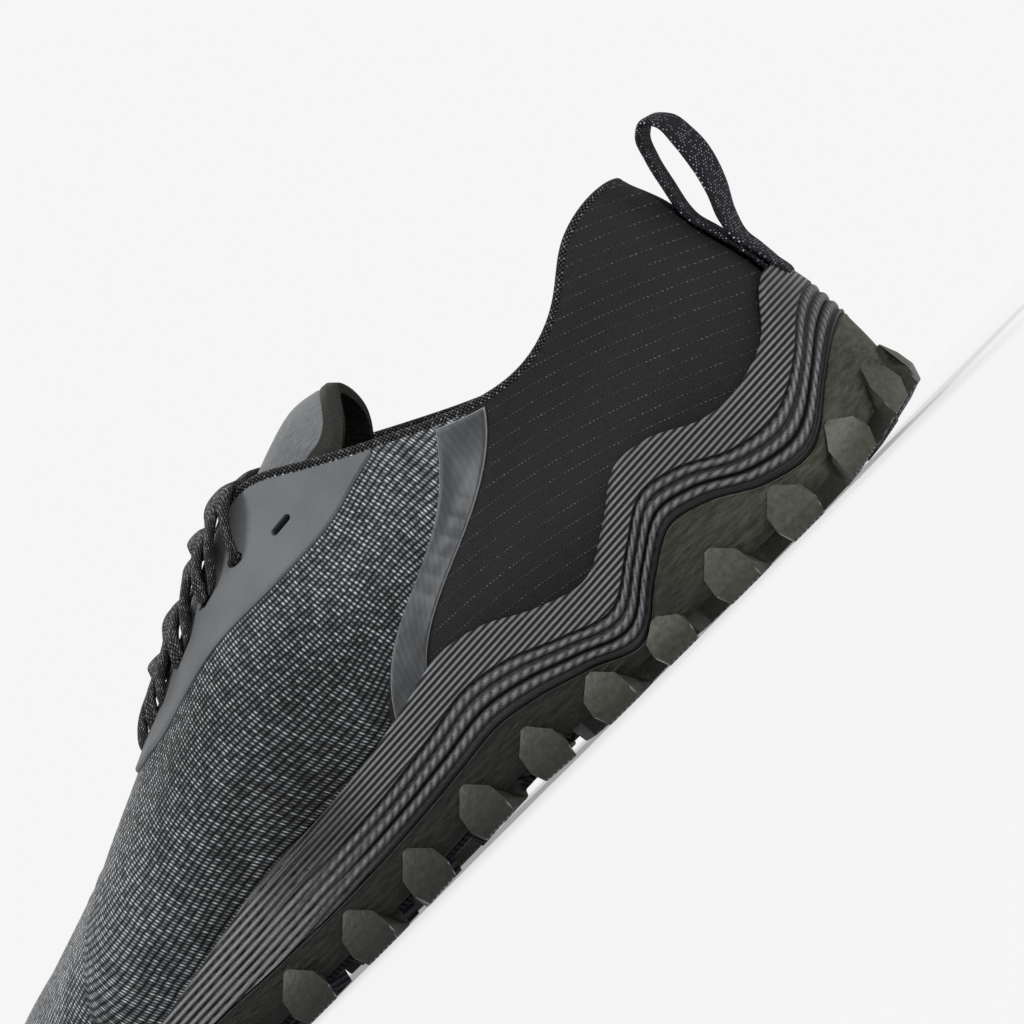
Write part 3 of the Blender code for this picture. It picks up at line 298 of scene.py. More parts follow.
def outline(ring):
    """Points of the widest outline and the level directions out of it."""
    step = 0.01
    along = spline_at(OUTLINE_ALONG, ring)
    across = spline_at(OUTLINE_ACROSS, ring)
    run_x = spline_at(OUTLINE_ALONG, ring - step) - spline_at(OUTLINE_ALONG, ring + step)
    run_y = spline_at(OUTLINE_ACROSS, ring + step) - spline_at(OUTLINE_ACROSS, ring - step)
    size = np.hypot(run_x, run_y)
    return np.stack((-along, across), axis=-1), np.stack((-run_y / size, run_x / size), axis=-1)


def spring(along):
    part = np.clip((along - SPRING_START) / (1.0 - SPRING_START), 0.0, 1.1)
    return TOE_SPRING * part ** SPRING_POWER


def base_height(along):
    """Lower face of the rubber, between the lugs."""
    bevel = HEEL_BEVEL * np.clip(1.0 - along / BEVEL_END, 0.0, 1.2) ** BEVEL_POWER
    arch = np.clip((along - ARCH_START) / (ARCH_END - ARCH_START), 0.0, 1.0)
    return LUG_DEPTH + spring(along) + bevel + ARCH_RISE * np.sin(math.pi * arch) ** 2


def footbed_height(along):
    drop = table_at(*zip(*FOOTBED_DROP), along)
    return HEEL_STACK + (BALL_STACK - HEEL_STACK) * drop + spring(along)


def rim_height(along):
    places, rims, _ = zip(*WAVE)
    low = footbed_height(along) + 2 * CLEARANCE
    return np.maximum(RIM_HEIGHT * table_at(places, rims, along) + spring(along), low)


def rubber_height(along):
    places, _, rubber = zip(*WAVE)
    low = base_height(along) + RUBBER_BASE + 2 * CLEARANCE
    return np.maximum(RIM_HEIGHT * table_at(places, rubber, along) + spring(along), low)


def top_line(ring):
    """Points of the collar, throat and vamp ridge, with the lean of the wall there."""
    ring = np.mod(ring, RING)
    side = np.where(ring > LAST_ROW, 1.0, -1.0)
    row = np.minimum(ring, RING - ring)
    along = spline_at(TOP["along"], row)
    part = np.clip(row - (THROAT_ROW - 1), 0.0, 1.0)
    half = spline_at(TOP["half"], row) * np.sqrt(np.clip(1.0 - part ** 2.2, 0.0, 1.0))
    half = np.maximum(half, 0.0)
    height = spline_at(TOP["height"], row) + spring(along / LENGTH)
    lean = np.minimum(spline_at(TOP["lean"], row), math.pi / 2)
    lean = np.where(row >= THROAT_ROW, math.pi / 2, lean)
    across = spline_at(TOP["centre"], row) + side * half
    return np.stack((-along, across, height), axis=-1), lean


def ridge_slope(along):
    """Rise of the vamp's ridge towards the heel, per metre."""
    rows = range(THROAT_ROW - 1, LAST_ROW + 1)
    points, _ = top_line(np.array(rows, dtype=float))
    places = -points[:, 0]
    step = 0.004
    low = np.clip(along - step, places[0], places[-1])
    high = np.clip(along + step, places[0], places[-1])
    drop = table_at(places, points[:, 2], low) - table_at(places, points[:, 2], high)
    return drop / np.maximum(high - low, step)


def upper_surface(ring, share):
    """Outer face of the upper at ring numbers and height shares of the same shape."""
    ring, share = np.broadcast_arrays(np.asarray(ring, float), np.asarray(share, float))
    edge, out = outline(ring)
    along = -edge[..., 0] / LENGTH
    foot = np.zeros(ring.shape + (3,))
    foot[..., :2] = edge - out * FEATHER_INSET
    foot[..., 2] = footbed_height(along) + CLEARANCE
    top, lean = top_line(ring)
    span = top - foot
    reach = np.maximum(np.hypot(span[..., 0], span[..., 1]), 1e-6)
    inward = span[..., :2] / reach[..., None]
    row = np.minimum(np.mod(ring, RING), RING - np.mod(ring, RING))
    flare = spline_at(TOP["flare"], row)
    closed = np.clip((np.degrees(lean) - 60.0) / 30.0, 0.0, 1.0)
    rise = span[..., 2]
    first = np.concatenate((out * np.sin(flare)[..., None], np.cos(flare)[..., None]), axis=-1)
    climb = np.cos(lean) + closed * ridge_slope(-top[..., 0]) * inward[..., 0]
    last = np.concatenate((inward * np.sin(lean)[..., None], climb[..., None]), axis=-1)
    quarter = 0.5523
    first_length = quarter * rise
    last_length = quarter * (reach * np.sin(lean) + rise * np.cos(lean))
    first_handle = foot + first * first_length[..., None]
    last_handle = top - last * last_length[..., None]
    s = share[..., None]
    return (foot * (1 - s) ** 3 + 3 * first_handle * s * (1 - s) ** 2
            + 3 * last_handle * s ** 2 * (1 - s) + top * s ** 3)


def upper_normal(ring, share):
    """Outward directions of the upper's outer face."""
    step = 0.02
    high = np.minimum(np.asarray(share, float) + step, 1.0)
    low = np.maximum(np.asarray(share, float) - step, 0.0)
    along = upper_surface(ring + step, share) - upper_surface(ring - step, share)
    climb = upper_surface(ring, high) - upper_surface(ring, low)
    normal = np.cross(climb, along)
    size = np.maximum(np.linalg.norm(normal, axis=-1, keepdims=True), 1e-12)
    return normal / size


def crease_depth(points, rows):
    """Depth of the soft troughs at points of the upper, the same on both sides."""
    total = np.zeros(points.shape[:-1])
    for ring_a, share_a, ring_b, share_b, depth, width in CREASES:
        for mirror in (False, True):
            steps = np.linspace(0.0, 1.0, 9)
            rings = ring_a + (ring_b - ring_a) * steps
            rings = RING - rings if mirror else rings
            line = upper_surface(rings, share_a + (share_b - share_a) * steps)
            fade = np.sin(math.pi * (0.12 + 0.76 * steps)) ** 0.8
            best = np.zeros(points.shape[:-1])
            for place, weight in zip(line, fade):
                gap = np.linalg.norm(points - place, axis=-1)
                best = np.maximum(best, weight * np.exp(-(gap / width) ** 2))
            total += depth * best
    return total * smooth_step(np.asarray(rows) / 0.08)


def creased_surface(ring, share):
    """Outer face of the upper with its soft troughs and ridges."""
    points = upper_surface(ring, share)
    rows = np.broadcast_to(np.minimum(share, 1.02 - np.asarray(share)), points.shape[:-1])
    return points - upper_normal(ring, share) * crease_depth(points, rows)[..., None]


def rim_share(ring):
    """Height share at which the upper leaves the midsole's rim."""
    shares = np.linspace(0.0, 0.8, 81)
    grid = upper_surface(ring[:, None], shares[None, :])[..., 2]
    edge, _ = outline(ring)
    heights = rim_height(-edge[:, 0] / LENGTH)
    return np.array([np.interp(height, line, shares) for height, line in zip(heights, grid)])


def wall_ring(ring, offset, height):
    """Points at a level distance out of the outline, at their own heights."""
    edge, out = outline(ring)
    points = np.empty((len(ring), 3))
    points[:, :2] = edge + out * np.reshape(offset, (-1, 1))
    points[:, 2] = height
    return points


def floor_ring(ring, inset, lift):
    """Level ring inside the outline that follows the base of the tread, some way above it."""
    points = wall_ring(ring, np.full(len(ring), -inset), 0.0)
    points[:, 2] = base_height(-points[:, 0] / LENGTH) + lift
    return points


def ring_samples(per_section):
    return np.arange(RING * per_section) / per_section


def side_ring(rings, side):
    return rings if side == "outer" else RING - rings


def grid_lengths(points, axis):
    """Lengths run along one axis of a grid of points."""
    steps = np.linalg.norm(np.diff(points, axis=axis), axis=-1)
    pad = [(0, 0), (0, 0)]
    pad[axis] = (1, 0)
    return np.pad(np.cumsum(steps, axis=axis), pad)


def grid_normals(points, wrap):
    """Directions across a grid of points, from its columns crossed with its rows."""
    down = np.gradient(points, axis=0)
    if wrap:
        across = 0.5 * (np.roll(points, -1, axis=1) - np.roll(points, 1, axis=1))
    else:
        across = np.gradient(points, axis=1)
    normal = np.cross(down, across)
    return normal / np.maximum(np.linalg.norm(normal, axis=-1, keepdims=True), 1e-12)


def piece_from(name, points, faces, materials, uvs=None, values=None, slots=None, sharp=38):
    """Mesh piece in the frame, with UVs in millimetres per face corner and values per point."""
    mesh = bpy.data.meshes.new(name)
    mesh.from_pydata([tuple(point) for point in np.asarray(points) + SHIFT], [], faces)
    for material in materials:
        mesh.materials.append(material)
    if slots is not None:
        mesh.polygons.foreach_set("material_index", slots)
    if uvs is not None:
        layer = mesh.uv_layers.new(name="millimetres")
        layer.data.foreach_set("uv", np.asarray(uvs, dtype=float).reshape(-1))
    for key, numbers in (values or {}).items():
        attribute = mesh.attributes.new(key, "FLOAT", "POINT")
        attribute.data.foreach_set("value", np.asarray(numbers, dtype=float).reshape(-1))
    mesh.shade_smooth()
    mesh.set_sharp_from_angle(angle=math.radians(sharp))
    made = bpy.data.objects.new(name, mesh)
    bpy.context.scene.collection.objects.link(made)
    return made


def outward(item):
    """Turns every face of a closed piece outward."""
    work = bmesh.new()
    work.from_mesh(item.data)
    bmesh.ops.recalc_face_normals(work, faces=work.faces)
    work.to_mesh(item.data)
    work.free()
    return item


def place(item, nodes, slot_name):
    """Puts a piece on the shoe's one body in place of its solids."""
    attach(item, "root")
    if nodes:
        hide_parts(*nodes)
    return item


def shell(name, outer, inner, wrap, materials, values=None, row_shift=0.0):
    """Closed piece between an outer and an inner grid of points."""
    rows, columns = outer.shape[:2]
    shift = rows * columns
    span = columns if wrap else columns - 1
    lengths_u = grid_lengths(np.concatenate((outer, outer[:, :1]), axis=1), 1) * 1000
    lengths_u = np.repeat(lengths_u[int(0.6 * rows)][None, :], rows, axis=0)
    lengths_v = grid_lengths(outer[::-1], 0)[::-1] * 1000 + row_shift
    faces, uvs, slots = [], [], []

    def uv(i, j):
        return lengths_u[i, j], lengths_v[i, j % columns]

    for i in range(rows - 1):
        for j in range(span):
            m = (j + 1) % columns
            corners = (i * columns + j, i * columns + m, (i + 1) * columns + m, (i + 1) * columns + j)
            places = (uv(i, j), uv(i, j + 1), uv(i + 1, j + 1), uv(i + 1, j))
            faces.append(corners)
            uvs.extend(places)
            slots.append(0)
            faces.append(tuple(index + shift for index in reversed(corners)))
            uvs.extend(reversed(places))
            slots.append(len(materials) - 1)
    borders = [(0, j, 0, j + 1) for j in range(span)] + [(rows - 1, j + 1, rows - 1, j) for j in range(span)]
    if not wrap:
        borders += [(i + 1, 0, i, 0) for i in range(rows - 1)]
        borders += [(i, columns - 1, i + 1, columns - 1) for i in range(rows - 1)]
    for i, j, k, m in borders:
        a = i * columns + j % columns
        b = k * columns + m % columns
        faces.append((b, a, a + shift, b + shift))
        uvs.extend((uv(k, m), uv(i, j), uv(i, j), uv(k, m)))
        slots.append(0)
    both = {key: np.concatenate((numbers.reshape(-1), numbers.reshape(-1)))
            for key, numbers in (values or {}).items()}
    points = np.concatenate((outer.reshape(-1, 3), inner.reshape(-1, 3)))
    return piece_from(name, points, faces, materials, uvs, both, slots)


def apply_modifiers(item):
    """Gives a piece the mesh that its modifiers make."""
    graph = bpy.context.evaluated_depsgraph_get()
    mesh = bpy.data.meshes.new_from_object(item.evaluated_get(graph))
    item.modifiers.clear()
    item.data = mesh


# Shader arithmetic

class Field:
    """A number that shader nodes work out, with the usual arithmetic."""

    def __init__(self, tree, socket):
        self.tree = tree
        self.socket = socket

    def put(self, operation, *others, clamp=False):
        node = self.tree.nodes.new("ShaderNodeMath")
        node.operation = operation
        node.use_clamp = clamp
        for index, value in enumerate((self,) + others):
            if isinstance(value, Field):
                self.tree.links.new(value.socket, node.inputs[index])
            else:
                node.inputs[index].default_value = value
        return Field(self.tree, node.outputs[0])

    def __add__(self, other):
        return self.put("ADD", other)

    __radd__ = __add__

    def __mul__(self, other):
        return self.put("MULTIPLY", other)

    __rmul__ = __mul__

    def __sub__(self, other):
        return self.put("SUBTRACT", other)

    def __rsub__(self, other):
        return self.put("MULTIPLY", -1.0) + other

    def __truediv__(self, other):
        return self.put("DIVIDE", other)

    def __pow__(self, other):
        return self.put("POWER", other)

    def fract(self):
        return self.put("FRACT")

    def floor(self):
        return self.put("FLOOR")

    def size(self):
        return self.put("ABSOLUTE")

    def clamp(self):
        return self.put("ADD", 0.0, clamp=True)

    def highest(self, other):
        return self.put("MAXIMUM", other)

    def wave(self):
        """Smooth wave from 0 to 1 and back, once for each whole number."""
        return ((self * (2 * math.pi)).put("COSINE") * -0.5) + 0.5

    def step_between(self, low, high):
        node = self.tree.nodes.new("ShaderNodeMapRange")
        node.interpolation_type = "SMOOTHSTEP"
        self.tree.links.new(self.socket, node.inputs["Value"])
        node.inputs["From Min"].default_value = low
        node.inputs["From Max"].default_value = high
        return Field(self.tree, node.outputs["Result"])


class Finish:
    """One material in the making: its coordinates, fields, colour, roughness and bump."""

    def __init__(self, name, roughness, specular):
        self.material = bpy.data.materials.new(name)
        self.material.use_nodes = True
        self.tree = self.material.node_tree
        self.shader = self.tree.nodes["Principled BSDF"]
        self.shader.inputs["Roughness"].default_value = roughness
        self.shader.inputs["Specular IOR Level"].default_value = specular
        self.coordinates = self.tree.nodes.new("ShaderNodeTexCoord")

    def axes(self, kind):
        """The three coordinates of a place: in metres of the shoe, or the UVs in millimetres."""
        node = self.tree.nodes.new("ShaderNodeSeparateXYZ")
        self.tree.links.new(self.coordinates.outputs[kind], node.inputs[0])
        return [Field(self.tree, socket) for socket in node.outputs]

    def value(self, name):
        node = self.tree.nodes.new("ShaderNodeAttribute")
        node.attribute_name = name
        return Field(self.tree, node.outputs["Fac"])

    def noise(self, scale, detail=3.0, stretch=(1.0, 1.0, 1.0), kind="Object"):
        mapping = self.tree.nodes.new("ShaderNodeMapping")
        mapping.inputs["Scale"].default_value = stretch
        self.tree.links.new(self.coordinates.outputs[kind], mapping.inputs["Vector"])
        node = self.tree.nodes.new("ShaderNodeTexNoise")
        node.inputs["Scale"].default_value = scale
        node.inputs["Detail"].default_value = detail
        self.tree.links.new(mapping.outputs[0], node.inputs["Vector"])
        return Field(self.tree, node.outputs["Fac"])

    def random(self, first, second):
        """Random number for each pair of whole numbers."""
        join = self.tree.nodes.new("ShaderNodeCombineXYZ")
        self.tree.links.new(first.socket, join.inputs[0])
        self.tree.links.new(second.socket, join.inputs[1])
        node = self.tree.nodes.new("ShaderNodeTexWhiteNoise")
        node.noise_dimensions = "2D"
        self.tree.links.new(join.outputs[0], node.inputs["Vector"])
        return Field(self.tree, node.outputs["Value"])

    def ramp(self, field, stops):
        node = self.tree.nodes.new("ShaderNodeValToRGB")
        while len(node.color_ramp.elements) < len(stops):
            node.color_ramp.elements.new(0.5)
        for element, (position, colour) in zip(node.color_ramp.elements, stops):
            element.position = position
            element.color = (*hex_colour(colour), 1.0)
        self.tree.links.new(field.socket, node.inputs[0])
        return node.outputs["Color"]

    def mix(self, share, first, second):
        node = self.tree.nodes.new("ShaderNodeMix")
        node.data_type = "RGBA"
        self.tree.links.new(share.socket, node.inputs[0])
        self.tree.links.new(first, node.inputs[6])
        self.tree.links.new(second, node.inputs[7])
        return node.outputs[2]

    def colour(self, socket):
        self.tree.links.new(socket, self.shader.inputs["Base Color"])

    def rough(self, field):
        self.tree.links.new(field.socket, self.shader.inputs["Roughness"])

    def bump(self, field, distance):
        """Raises the surface by a field from 0 to 1, times a distance in metres."""
        node = self.tree.nodes.new("ShaderNodeBump")
        node.inputs["Strength"].default_value = 1.0
        node.inputs["Distance"].default_value = distance
        self.tree.links.new(field.socket, node.inputs["Height"])
        self.tree.links.new(node.outputs[0], self.shader.inputs["Normal"])


def hex_colour(text):
    """Linear colour from the usual six hexadecimal digits."""
    channels = [int(text[k:k + 2], 16) / 255 for k in (1, 3, 5)]
    return [c / 12.92 if c <= 0.04045 else ((c + 0.055) / 1.055) ** 2.4 for c in channels]


# Pitches of the knit and the ripstop, in millimetres, and where the ripstop starts, in metres
KNIT_PITCH = 1.90
STITCH_PITCH = 0.80
RIPSTOP_PITCH = 3.6
RIPSTOP_CROSS = 4.2
RIPSTOP_START = 0.055


def upper_finish():
    """Chunky ribbed knit in front, ripstop behind the saddle strap."""
    made = Finish("upper_knit_and_ripstop", roughness=0.78, specular=0.18)
    u, v, _ = made.axes("UV")
    height = made.value("height")
    wander = made.noise(0.09, 2.0, kind="UV") * 0.9
    row = (v + wander) / KNIT_PITCH
    row_part = row.fract()
    row_number = row.floor()
    crest = (row_part * math.pi).put("SINE")
    stitch = u / STITCH_PITCH + row_number * 0.37 + row_part * 1.35
    bead = stitch.wave()
    chance = made.random(stitch.floor(), row_number)
    fine = made.noise(2.6, 3.0, kind="UV")
    relief = (crest ** 0.9) * (bead * 0.50 + 0.50) + fine * 0.16
    patch = made.noise(0.05, 2.0, kind="UV")
    x, _, z = made.axes("Object")
    front = (x * -1.0 - 0.005).step_between(0.0, 0.085)
    # Painted shade and highlight: the knit is painted darker in the gaps between its rows and towards the
    # sole, and lighter on its stitch crests. Random stitches are paler yarn, brightened most on their crests
    # as painted highlight, and the knit gets lighter towards the toe.
    knit_tone_and_painted_light = relief * 0.52 + chance * bead * 0.42
    knit_tone_and_painted_light = knit_tone_and_painted_light + (patch - 0.5) * 0.25 + (height - 0.62) * 0.30 + front * 0.20
    knit = made.ramp(knit_tone_and_painted_light, ((0.08, "#0b0c0d"), (0.29, "#26282a"), (0.50, "#565859"),
                              (0.72, "#888b8d"), (0.93, "#c6c8ca")))
    back = x - RIPSTOP_START
    contour = (z + back * 0.12 + back * back * 2.4) * 1000
    across = x * 1000 + z * 160
    line = 1.0 - ((contour / RIPSTOP_PITCH).fract() - 0.5).size().step_between(0.03, 0.075)
    dash = (across / 0.95).wave().step_between(0.25, 0.6)
    cross = 1.0 - ((across / RIPSTOP_CROSS).fract() - 0.5).size().step_between(0.02, 0.05)
    weave = (contour / 0.42).wave() * (across / 0.42).wave()
    grain = made.noise(2200.0, 2.0)
    worn = made.noise(420.0, 2.0).step_between(0.35, 0.65)
    marks = (line * dash * (worn * 0.5 + 0.45) + cross * 0.15).clamp()
    cloth = made.ramp((weave * 0.4 + grain * 0.35 + marks * 0.55).clamp(),
                      ((0.0, "#0e0e10"), (0.35, "#18181a"), (0.65, "#262628"), (1.0, "#6c6c70")))
    rear = made.value("rear").step_between(0.45, 0.55)
    made.colour(made.mix(rear, knit, cloth))
    knit_height = relief * (1.0 - rear)
    cloth_height = (weave * 0.10 + marks * 0.22 + grain * 0.12) * rear
    made.bump(knit_height + cloth_height, 0.0010)
    made.rough(0.74 - rear * 0.12)
    return made.material


def lining_finish():
    made = Finish("lining", roughness=0.9, specular=0.15)
    u, v, _ = made.axes("UV")
    mesh = (u / 1.1).wave() * (v / 1.1).wave()
    made.colour(made.ramp(mesh * 0.7 + made.noise(900.0) * 0.3,
                          ((0.0, "#141416"), (1.0, "#2e2e31"))))
    made.bump(mesh, 0.0004)
    return made.material


def overlay_finish():
    """Matt grey microfibre of the eyestays."""
    made = Finish("eyestay_microfibre", roughness=0.68, specular=0.25)
    cloud = made.noise(60.0, 2.0)
    fine = made.noise(3200.0, 2.0)
    made.colour(made.ramp(cloud * 0.6 + fine * 0.4,
                          ((0.25, "#4e5052"), (0.5, "#5b5d5f"), (0.8, "#686a6c"))))
    made.bump(fine, 0.00012)
    return made.material


def strap_finish():
    """Welded film, half clear, with the knit showing soft through it and a pale edge."""
    made = Finish("strap_film", roughness=0.46, specular=0.28)
    u, v, _ = made.axes("UV")
    edge = made.value("edge")
    blur = made.noise(0.22, 2.0, stretch=(0.6, 0.35, 1.0), kind="UV")
    streak = (blur - 0.5) * 1.2 + (u / 1.9 + v / 3.1).wave() * 0.10 + 0.45
    pale = 1.0 - edge.step_between(0.10, 0.35)
    body = made.ramp(streak, ((0.2, "#2a2b2d"), (0.5, "#3a3c3e"), (0.8, "#4f5153")))
    line = made.ramp(pale, ((0.0, "#77797b"), (1.0, "#8d8f91")))
    made.colour(made.mix(pale * 0.7, body, line))
    made.bump(streak, 0.00008)
    return made.material


def grained_finish(name, roughness, specular, scale, low, high, relief):
    """Plain material with a fine grain in its colour and its surface."""
    made = Finish(name, roughness, specular)
    grain = made.noise(scale, 2.0)
    made.colour(made.ramp(grain, ((0.3, low), (0.7, high))))
    made.bump(grain, relief)
    return made.material


def foam_finish():
    """Near-black foam painted lighter on its ridges and darker in its grooves, a painted highlight and shade,
    with level ribs above the rope rows.
    """
    made = Finish("foam_band", roughness=0.50, specular=0.35)
    _, _, z = made.axes("Object")
    ribbed = made.value("ribbed")
    level = (z + made.value("run") * math.tan(RIB_TILT)) * (1.0 / RIB_PITCH)
    rib = (level * math.pi).put("COSINE").size() ** 0.7
    ridge = made.value("ridge") * (1.0 - ribbed) + rib * ribbed
    fine = made.noise(1500.0, 3.0)
    # Painted highlight and shade: rope and rib crests lighter, grooves darker.
    made.colour(made.ramp(ridge * 0.85 + fine * 0.15,
                          ((0.12, "#040405"), (0.48, "#111113"), (0.74, "#3a3b3d"), (0.97, "#707274"))))
    made.bump(fine * 0.15 + rib * ribbed, 0.0007)
    made.rough(0.60 - ridge * 0.18)
    return made.material


def rubber_finish():
    """Dark olive rubber, darker towards the waist, with a stippled grain."""
    made = Finish("side_rubber", roughness=0.62, specular=0.25)
    x, _, _ = made.axes("Object")
    grain = made.noise(900.0, 4.0, stretch=(0.30, 0.30, 1.0))
    broad = made.noise(60.0, 2.0)
    warm = x.step_between(0.040, 0.135)
    dark = made.ramp(grain, ((0.3, "#0b0c0a"), (0.7, "#1d1e19")))
    olive = made.ramp(grain * 0.75 + broad * 0.25, ((0.32, "#20211a"), (0.68, "#45463a")))
    made.colour(made.mix(warm, dark, olive))
    made.bump(grain, 0.0006)
    return made.material


def facet_finish():
    """Smooth upper facets of the side lugs."""
    made = Finish("lug_facets", roughness=0.48, specular=0.3)
    x, _, _ = made.axes("Object")
    fine = made.noise(700.0, 3.0)
    warm = x.step_between(0.0, 0.120)
    dark = made.ramp(fine, ((0.3, "#1e1f1b"), (0.7, "#2b2c26")))
    olive = made.ramp(fine, ((0.3, "#33352c"), (0.7, "#45473c")))
    made.colour(made.mix(warm, dark, olive))
    made.bump(fine, 0.00015)
    return made.material


def ribbed_finish(name, low, high, pitch, turn):
    """Ground faces with fine parallel ribs."""
    made = Finish(name, roughness=0.60, specular=0.4)
    x, y, z = made.axes("Object")
    rib = ((x * math.cos(turn) + y * math.sin(turn) + z * 0.35) * (1000.0 / pitch)).wave()
    fine = made.noise(1400.0, 3.0)
    # Painted highlight and shade: the ribs are painted lighter on their crests and darker between them.
    made.colour(made.ramp(rib * 0.75 + fine * 0.25, ((0.15, low), (0.85, high))))
    made.bump(rib, 0.00045)
    return made.material


def cord_finish(name, low, middle, high, specks):
    """Braid of crossing strands, each over one and under one, with a few paler yarns."""
    made = Finish(name, roughness=0.82, specular=0.18)
    u, v, _ = made.axes("UV")
    first = u + v
    second = u - v
    first_top = ((first.floor() + second.floor()) * 0.5).fract() * 2.0
    rise_a = (first.fract() * math.pi).put("SINE")
    rise_b = (second.fract() * math.pi).put("SINE")
    strand_a = rise_a * (rise_b * 0.45 + 0.55)
    strand_b = rise_b * (rise_a * 0.45 + 0.55)
    relief = strand_a * first_top + strand_b * (1.0 - first_top)
    chance = made.random(first.floor(), second.floor())
    fibre = made.noise(2600.0, 2.0)
    # Painted highlight and shade: strands are painted lighter on their crests and darker where they dive
    # under; a few random strands are paler yarns.
    painted_shade_and_yarns = relief * 0.62 + fibre * 0.22 + chance.step_between(0.55, 0.95) * relief * specks
    made.colour(made.ramp(painted_shade_and_yarns, ((0.22, low), (0.55, middle), (0.95, high))))
    made.bump(relief + fibre * 0.25, 0.00055)
    return made.material


def webbing_finish():
    """Black webbing flecked with lavender yarn."""
    made = Finish("loop_webbing", roughness=0.78, specular=0.2)
    u, v, _ = made.axes("UV")
    twill = (u / 1.35 + v / 1.20)
    other = (u / 1.35 - v / 1.20)
    chance = made.random(twill.floor(), other.floor())
    weave = twill.wave() * other.wave()
    flecks = chance.step_between(0.50, 0.60) * weave
    made.colour(made.ramp((weave * 0.40 + flecks * 0.60).clamp(),
                          ((0.0, "#0f0f12"), (0.40, "#2a2a30"), (0.75, "#77768a"), (1.0, "#bdbccb"))))
    made.bump(weave, 0.0006)
    return made.material


def tongue_finish():
    """Grey brushed mesh with a dark turned edge."""
    made = Finish("tongue_mesh", roughness=0.82, specular=0.18)
    border = 1.0 - made.value("edge").step_between(3.5, 3.8)
    fibre = made.noise(0.9, 3.0, stretch=(1.6, 0.35, 1.0), kind="UV")
    fine = made.noise(2200.0, 2.0)
    grey = made.ramp(fibre * 0.6 + fine * 0.4, ((0.25, "#505254"), (0.55, "#66686a"), (0.85, "#838587")))
    dark = made.ramp(fine, ((0.3, "#1f1f20"), (0.7, "#31302b")))
    made.colour(made.mix(border, grey, dark))
    made.bump(fibre * 0.5 + fine * 0.5 + border * 0.8, 0.0004)
    return made.material


def insole_finish():
    made = Finish("insole_knit", roughness=0.9, specular=0.15)
    x, y, _ = made.axes("Object")
    weave = (x * 900).wave() * (y * 900).wave()
    made.colour(made.ramp(weave * 0.6 + made.noise(900.0) * 0.4, ((0.1, "#1b1b1e"), (0.9, "#3a3a3e"))))
    made.bump(weave, 0.0003)
    return made.material


def stage_finish():
    """Pale floor that glows a little, more where the lamps don't reach."""
    made = Finish("pale_floor", roughness=0.9, specular=0.0)
    x, y, _ = made.axes("Object")
    made.colour(made.ramp(made.noise(3.0), ((0.0, "#a6a6a6"), (1.0, "#a8a8a8"))))
    made.shader.inputs["Emission Color"].default_value = (1.0, 1.0, 1.0, 1.0)
    lit = x * 0.0 + AMBIENT
    for _, spot, target, _, power in LAMPS:
        facing = np.subtract(target, spot)
        facing = facing / np.linalg.norm(facing)
        reach = (x - spot[0]) * (x - spot[0]) + (y - spot[1]) * (y - spot[1]) + spot[2] ** 2
        ahead = (x - spot[0]) * float(facing[0]) + (y - spot[1]) * float(facing[1])
        ahead = (ahead - float(facing[2]) * spot[2]).highest(0.0)
        lit = lit + ahead / (reach * reach) * (power * spot[2] / math.pi ** 2)
    glow = (lit * -FLOOR_SHADE + BACKDROP).highest(0.0)
    made.tree.links.new(glow.socket, made.shader.inputs["Emission Strength"])
    return made.material


# Pieces

def strap_ring(share):
    """Ring number of the saddle strap's middle at a height share."""
    return STRAP_FOOT_RING + (STRAP_TOP_RING - STRAP_FOOT_RING) * (share - 0.30) / (STRAP_HEAD - 0.30)


def slot_places():
    """Ring, share, turn, length and width of each lace slot, outer side."""
    places = [(SPARE_SLOT_RING, SPARE_SLOT_SHARE, SPARE_SLOT_TURN, SLOT_LENGTH, SLOT_WIDTH)]
    places.append((LACE_RINGS[0] + LACE_LEAD, LACE_SHARE, 0.0, TOP_SLOT_LENGTH, LACE_SLOT_WIDTH))
    places += [(ring, LACE_SHARE, 0.0, LACE_SLOT_LENGTH, LACE_SLOT_WIDTH) for ring in LACE_RINGS[1:]]
    return places


def slot_frame(ring, share):
    """Middle of a slot on the upper, with the directions along it, out of it and across it."""
    rings = np.array([ring])
    shares = np.array([share])
    middle = upper_surface(rings, shares)[0]
    out = upper_normal(rings, shares)[0]
    run = upper_surface(rings + 0.1, shares)[0] - upper_surface(rings - 0.1, shares)[0]
    run = run / np.linalg.norm(run)
    across = np.cross(out, run)
    return middle, run, out, across / np.linalg.norm(across)


def slot_cutter():
    """Stadium-shaped punches through the upper and the eyestays, both sides, in one mesh."""
    points, faces = [], []
    arc = [math.radians(a) for a in range(-90, 91, 30)]
    for ring, share, turn, length, width in slot_places():
        for side, sign in (("outer", 1.0), ("inner", -1.0)):
            middle, level, out, down = slot_frame(side_ring(ring, side), share)
            tilt = math.radians(turn) * sign
            run = level * math.cos(tilt) + down * math.sin(tilt)
            across = np.cross(out, run)
            half = (length - width) / 2
            loop = [(half + math.cos(a) * width / 2, math.sin(a) * width / 2) for a in arc]
            loop += [(-x, -y) for x, y in loop]
            start = len(points)
            for depth in SLOT_PUNCH:
                points.extend(middle + run * x + across * y + out * depth for x, y in loop)
            count = len(loop)
            faces.append(tuple(start + k for k in range(count)))
            faces.append(tuple(start + count + k for k in range(count)))
            for k in range(count):
                m = (k + 1) % count
                faces.append((start + k, start + m, start + count + m, start + count + k))
    cutter = outward(piece_from("slot_punch", points, faces, []))
    cutter.hide_render = True
    return cutter


def punch(item, cutter):
    modifier = item.modifiers.new("slots", "BOOLEAN")
    modifier.operation = "DIFFERENCE"
    modifier.solver = "EXACT"
    modifier.object = cutter
    apply_modifiers(item)
    item.data.set_sharp_from_angle(angle=math.radians(45))


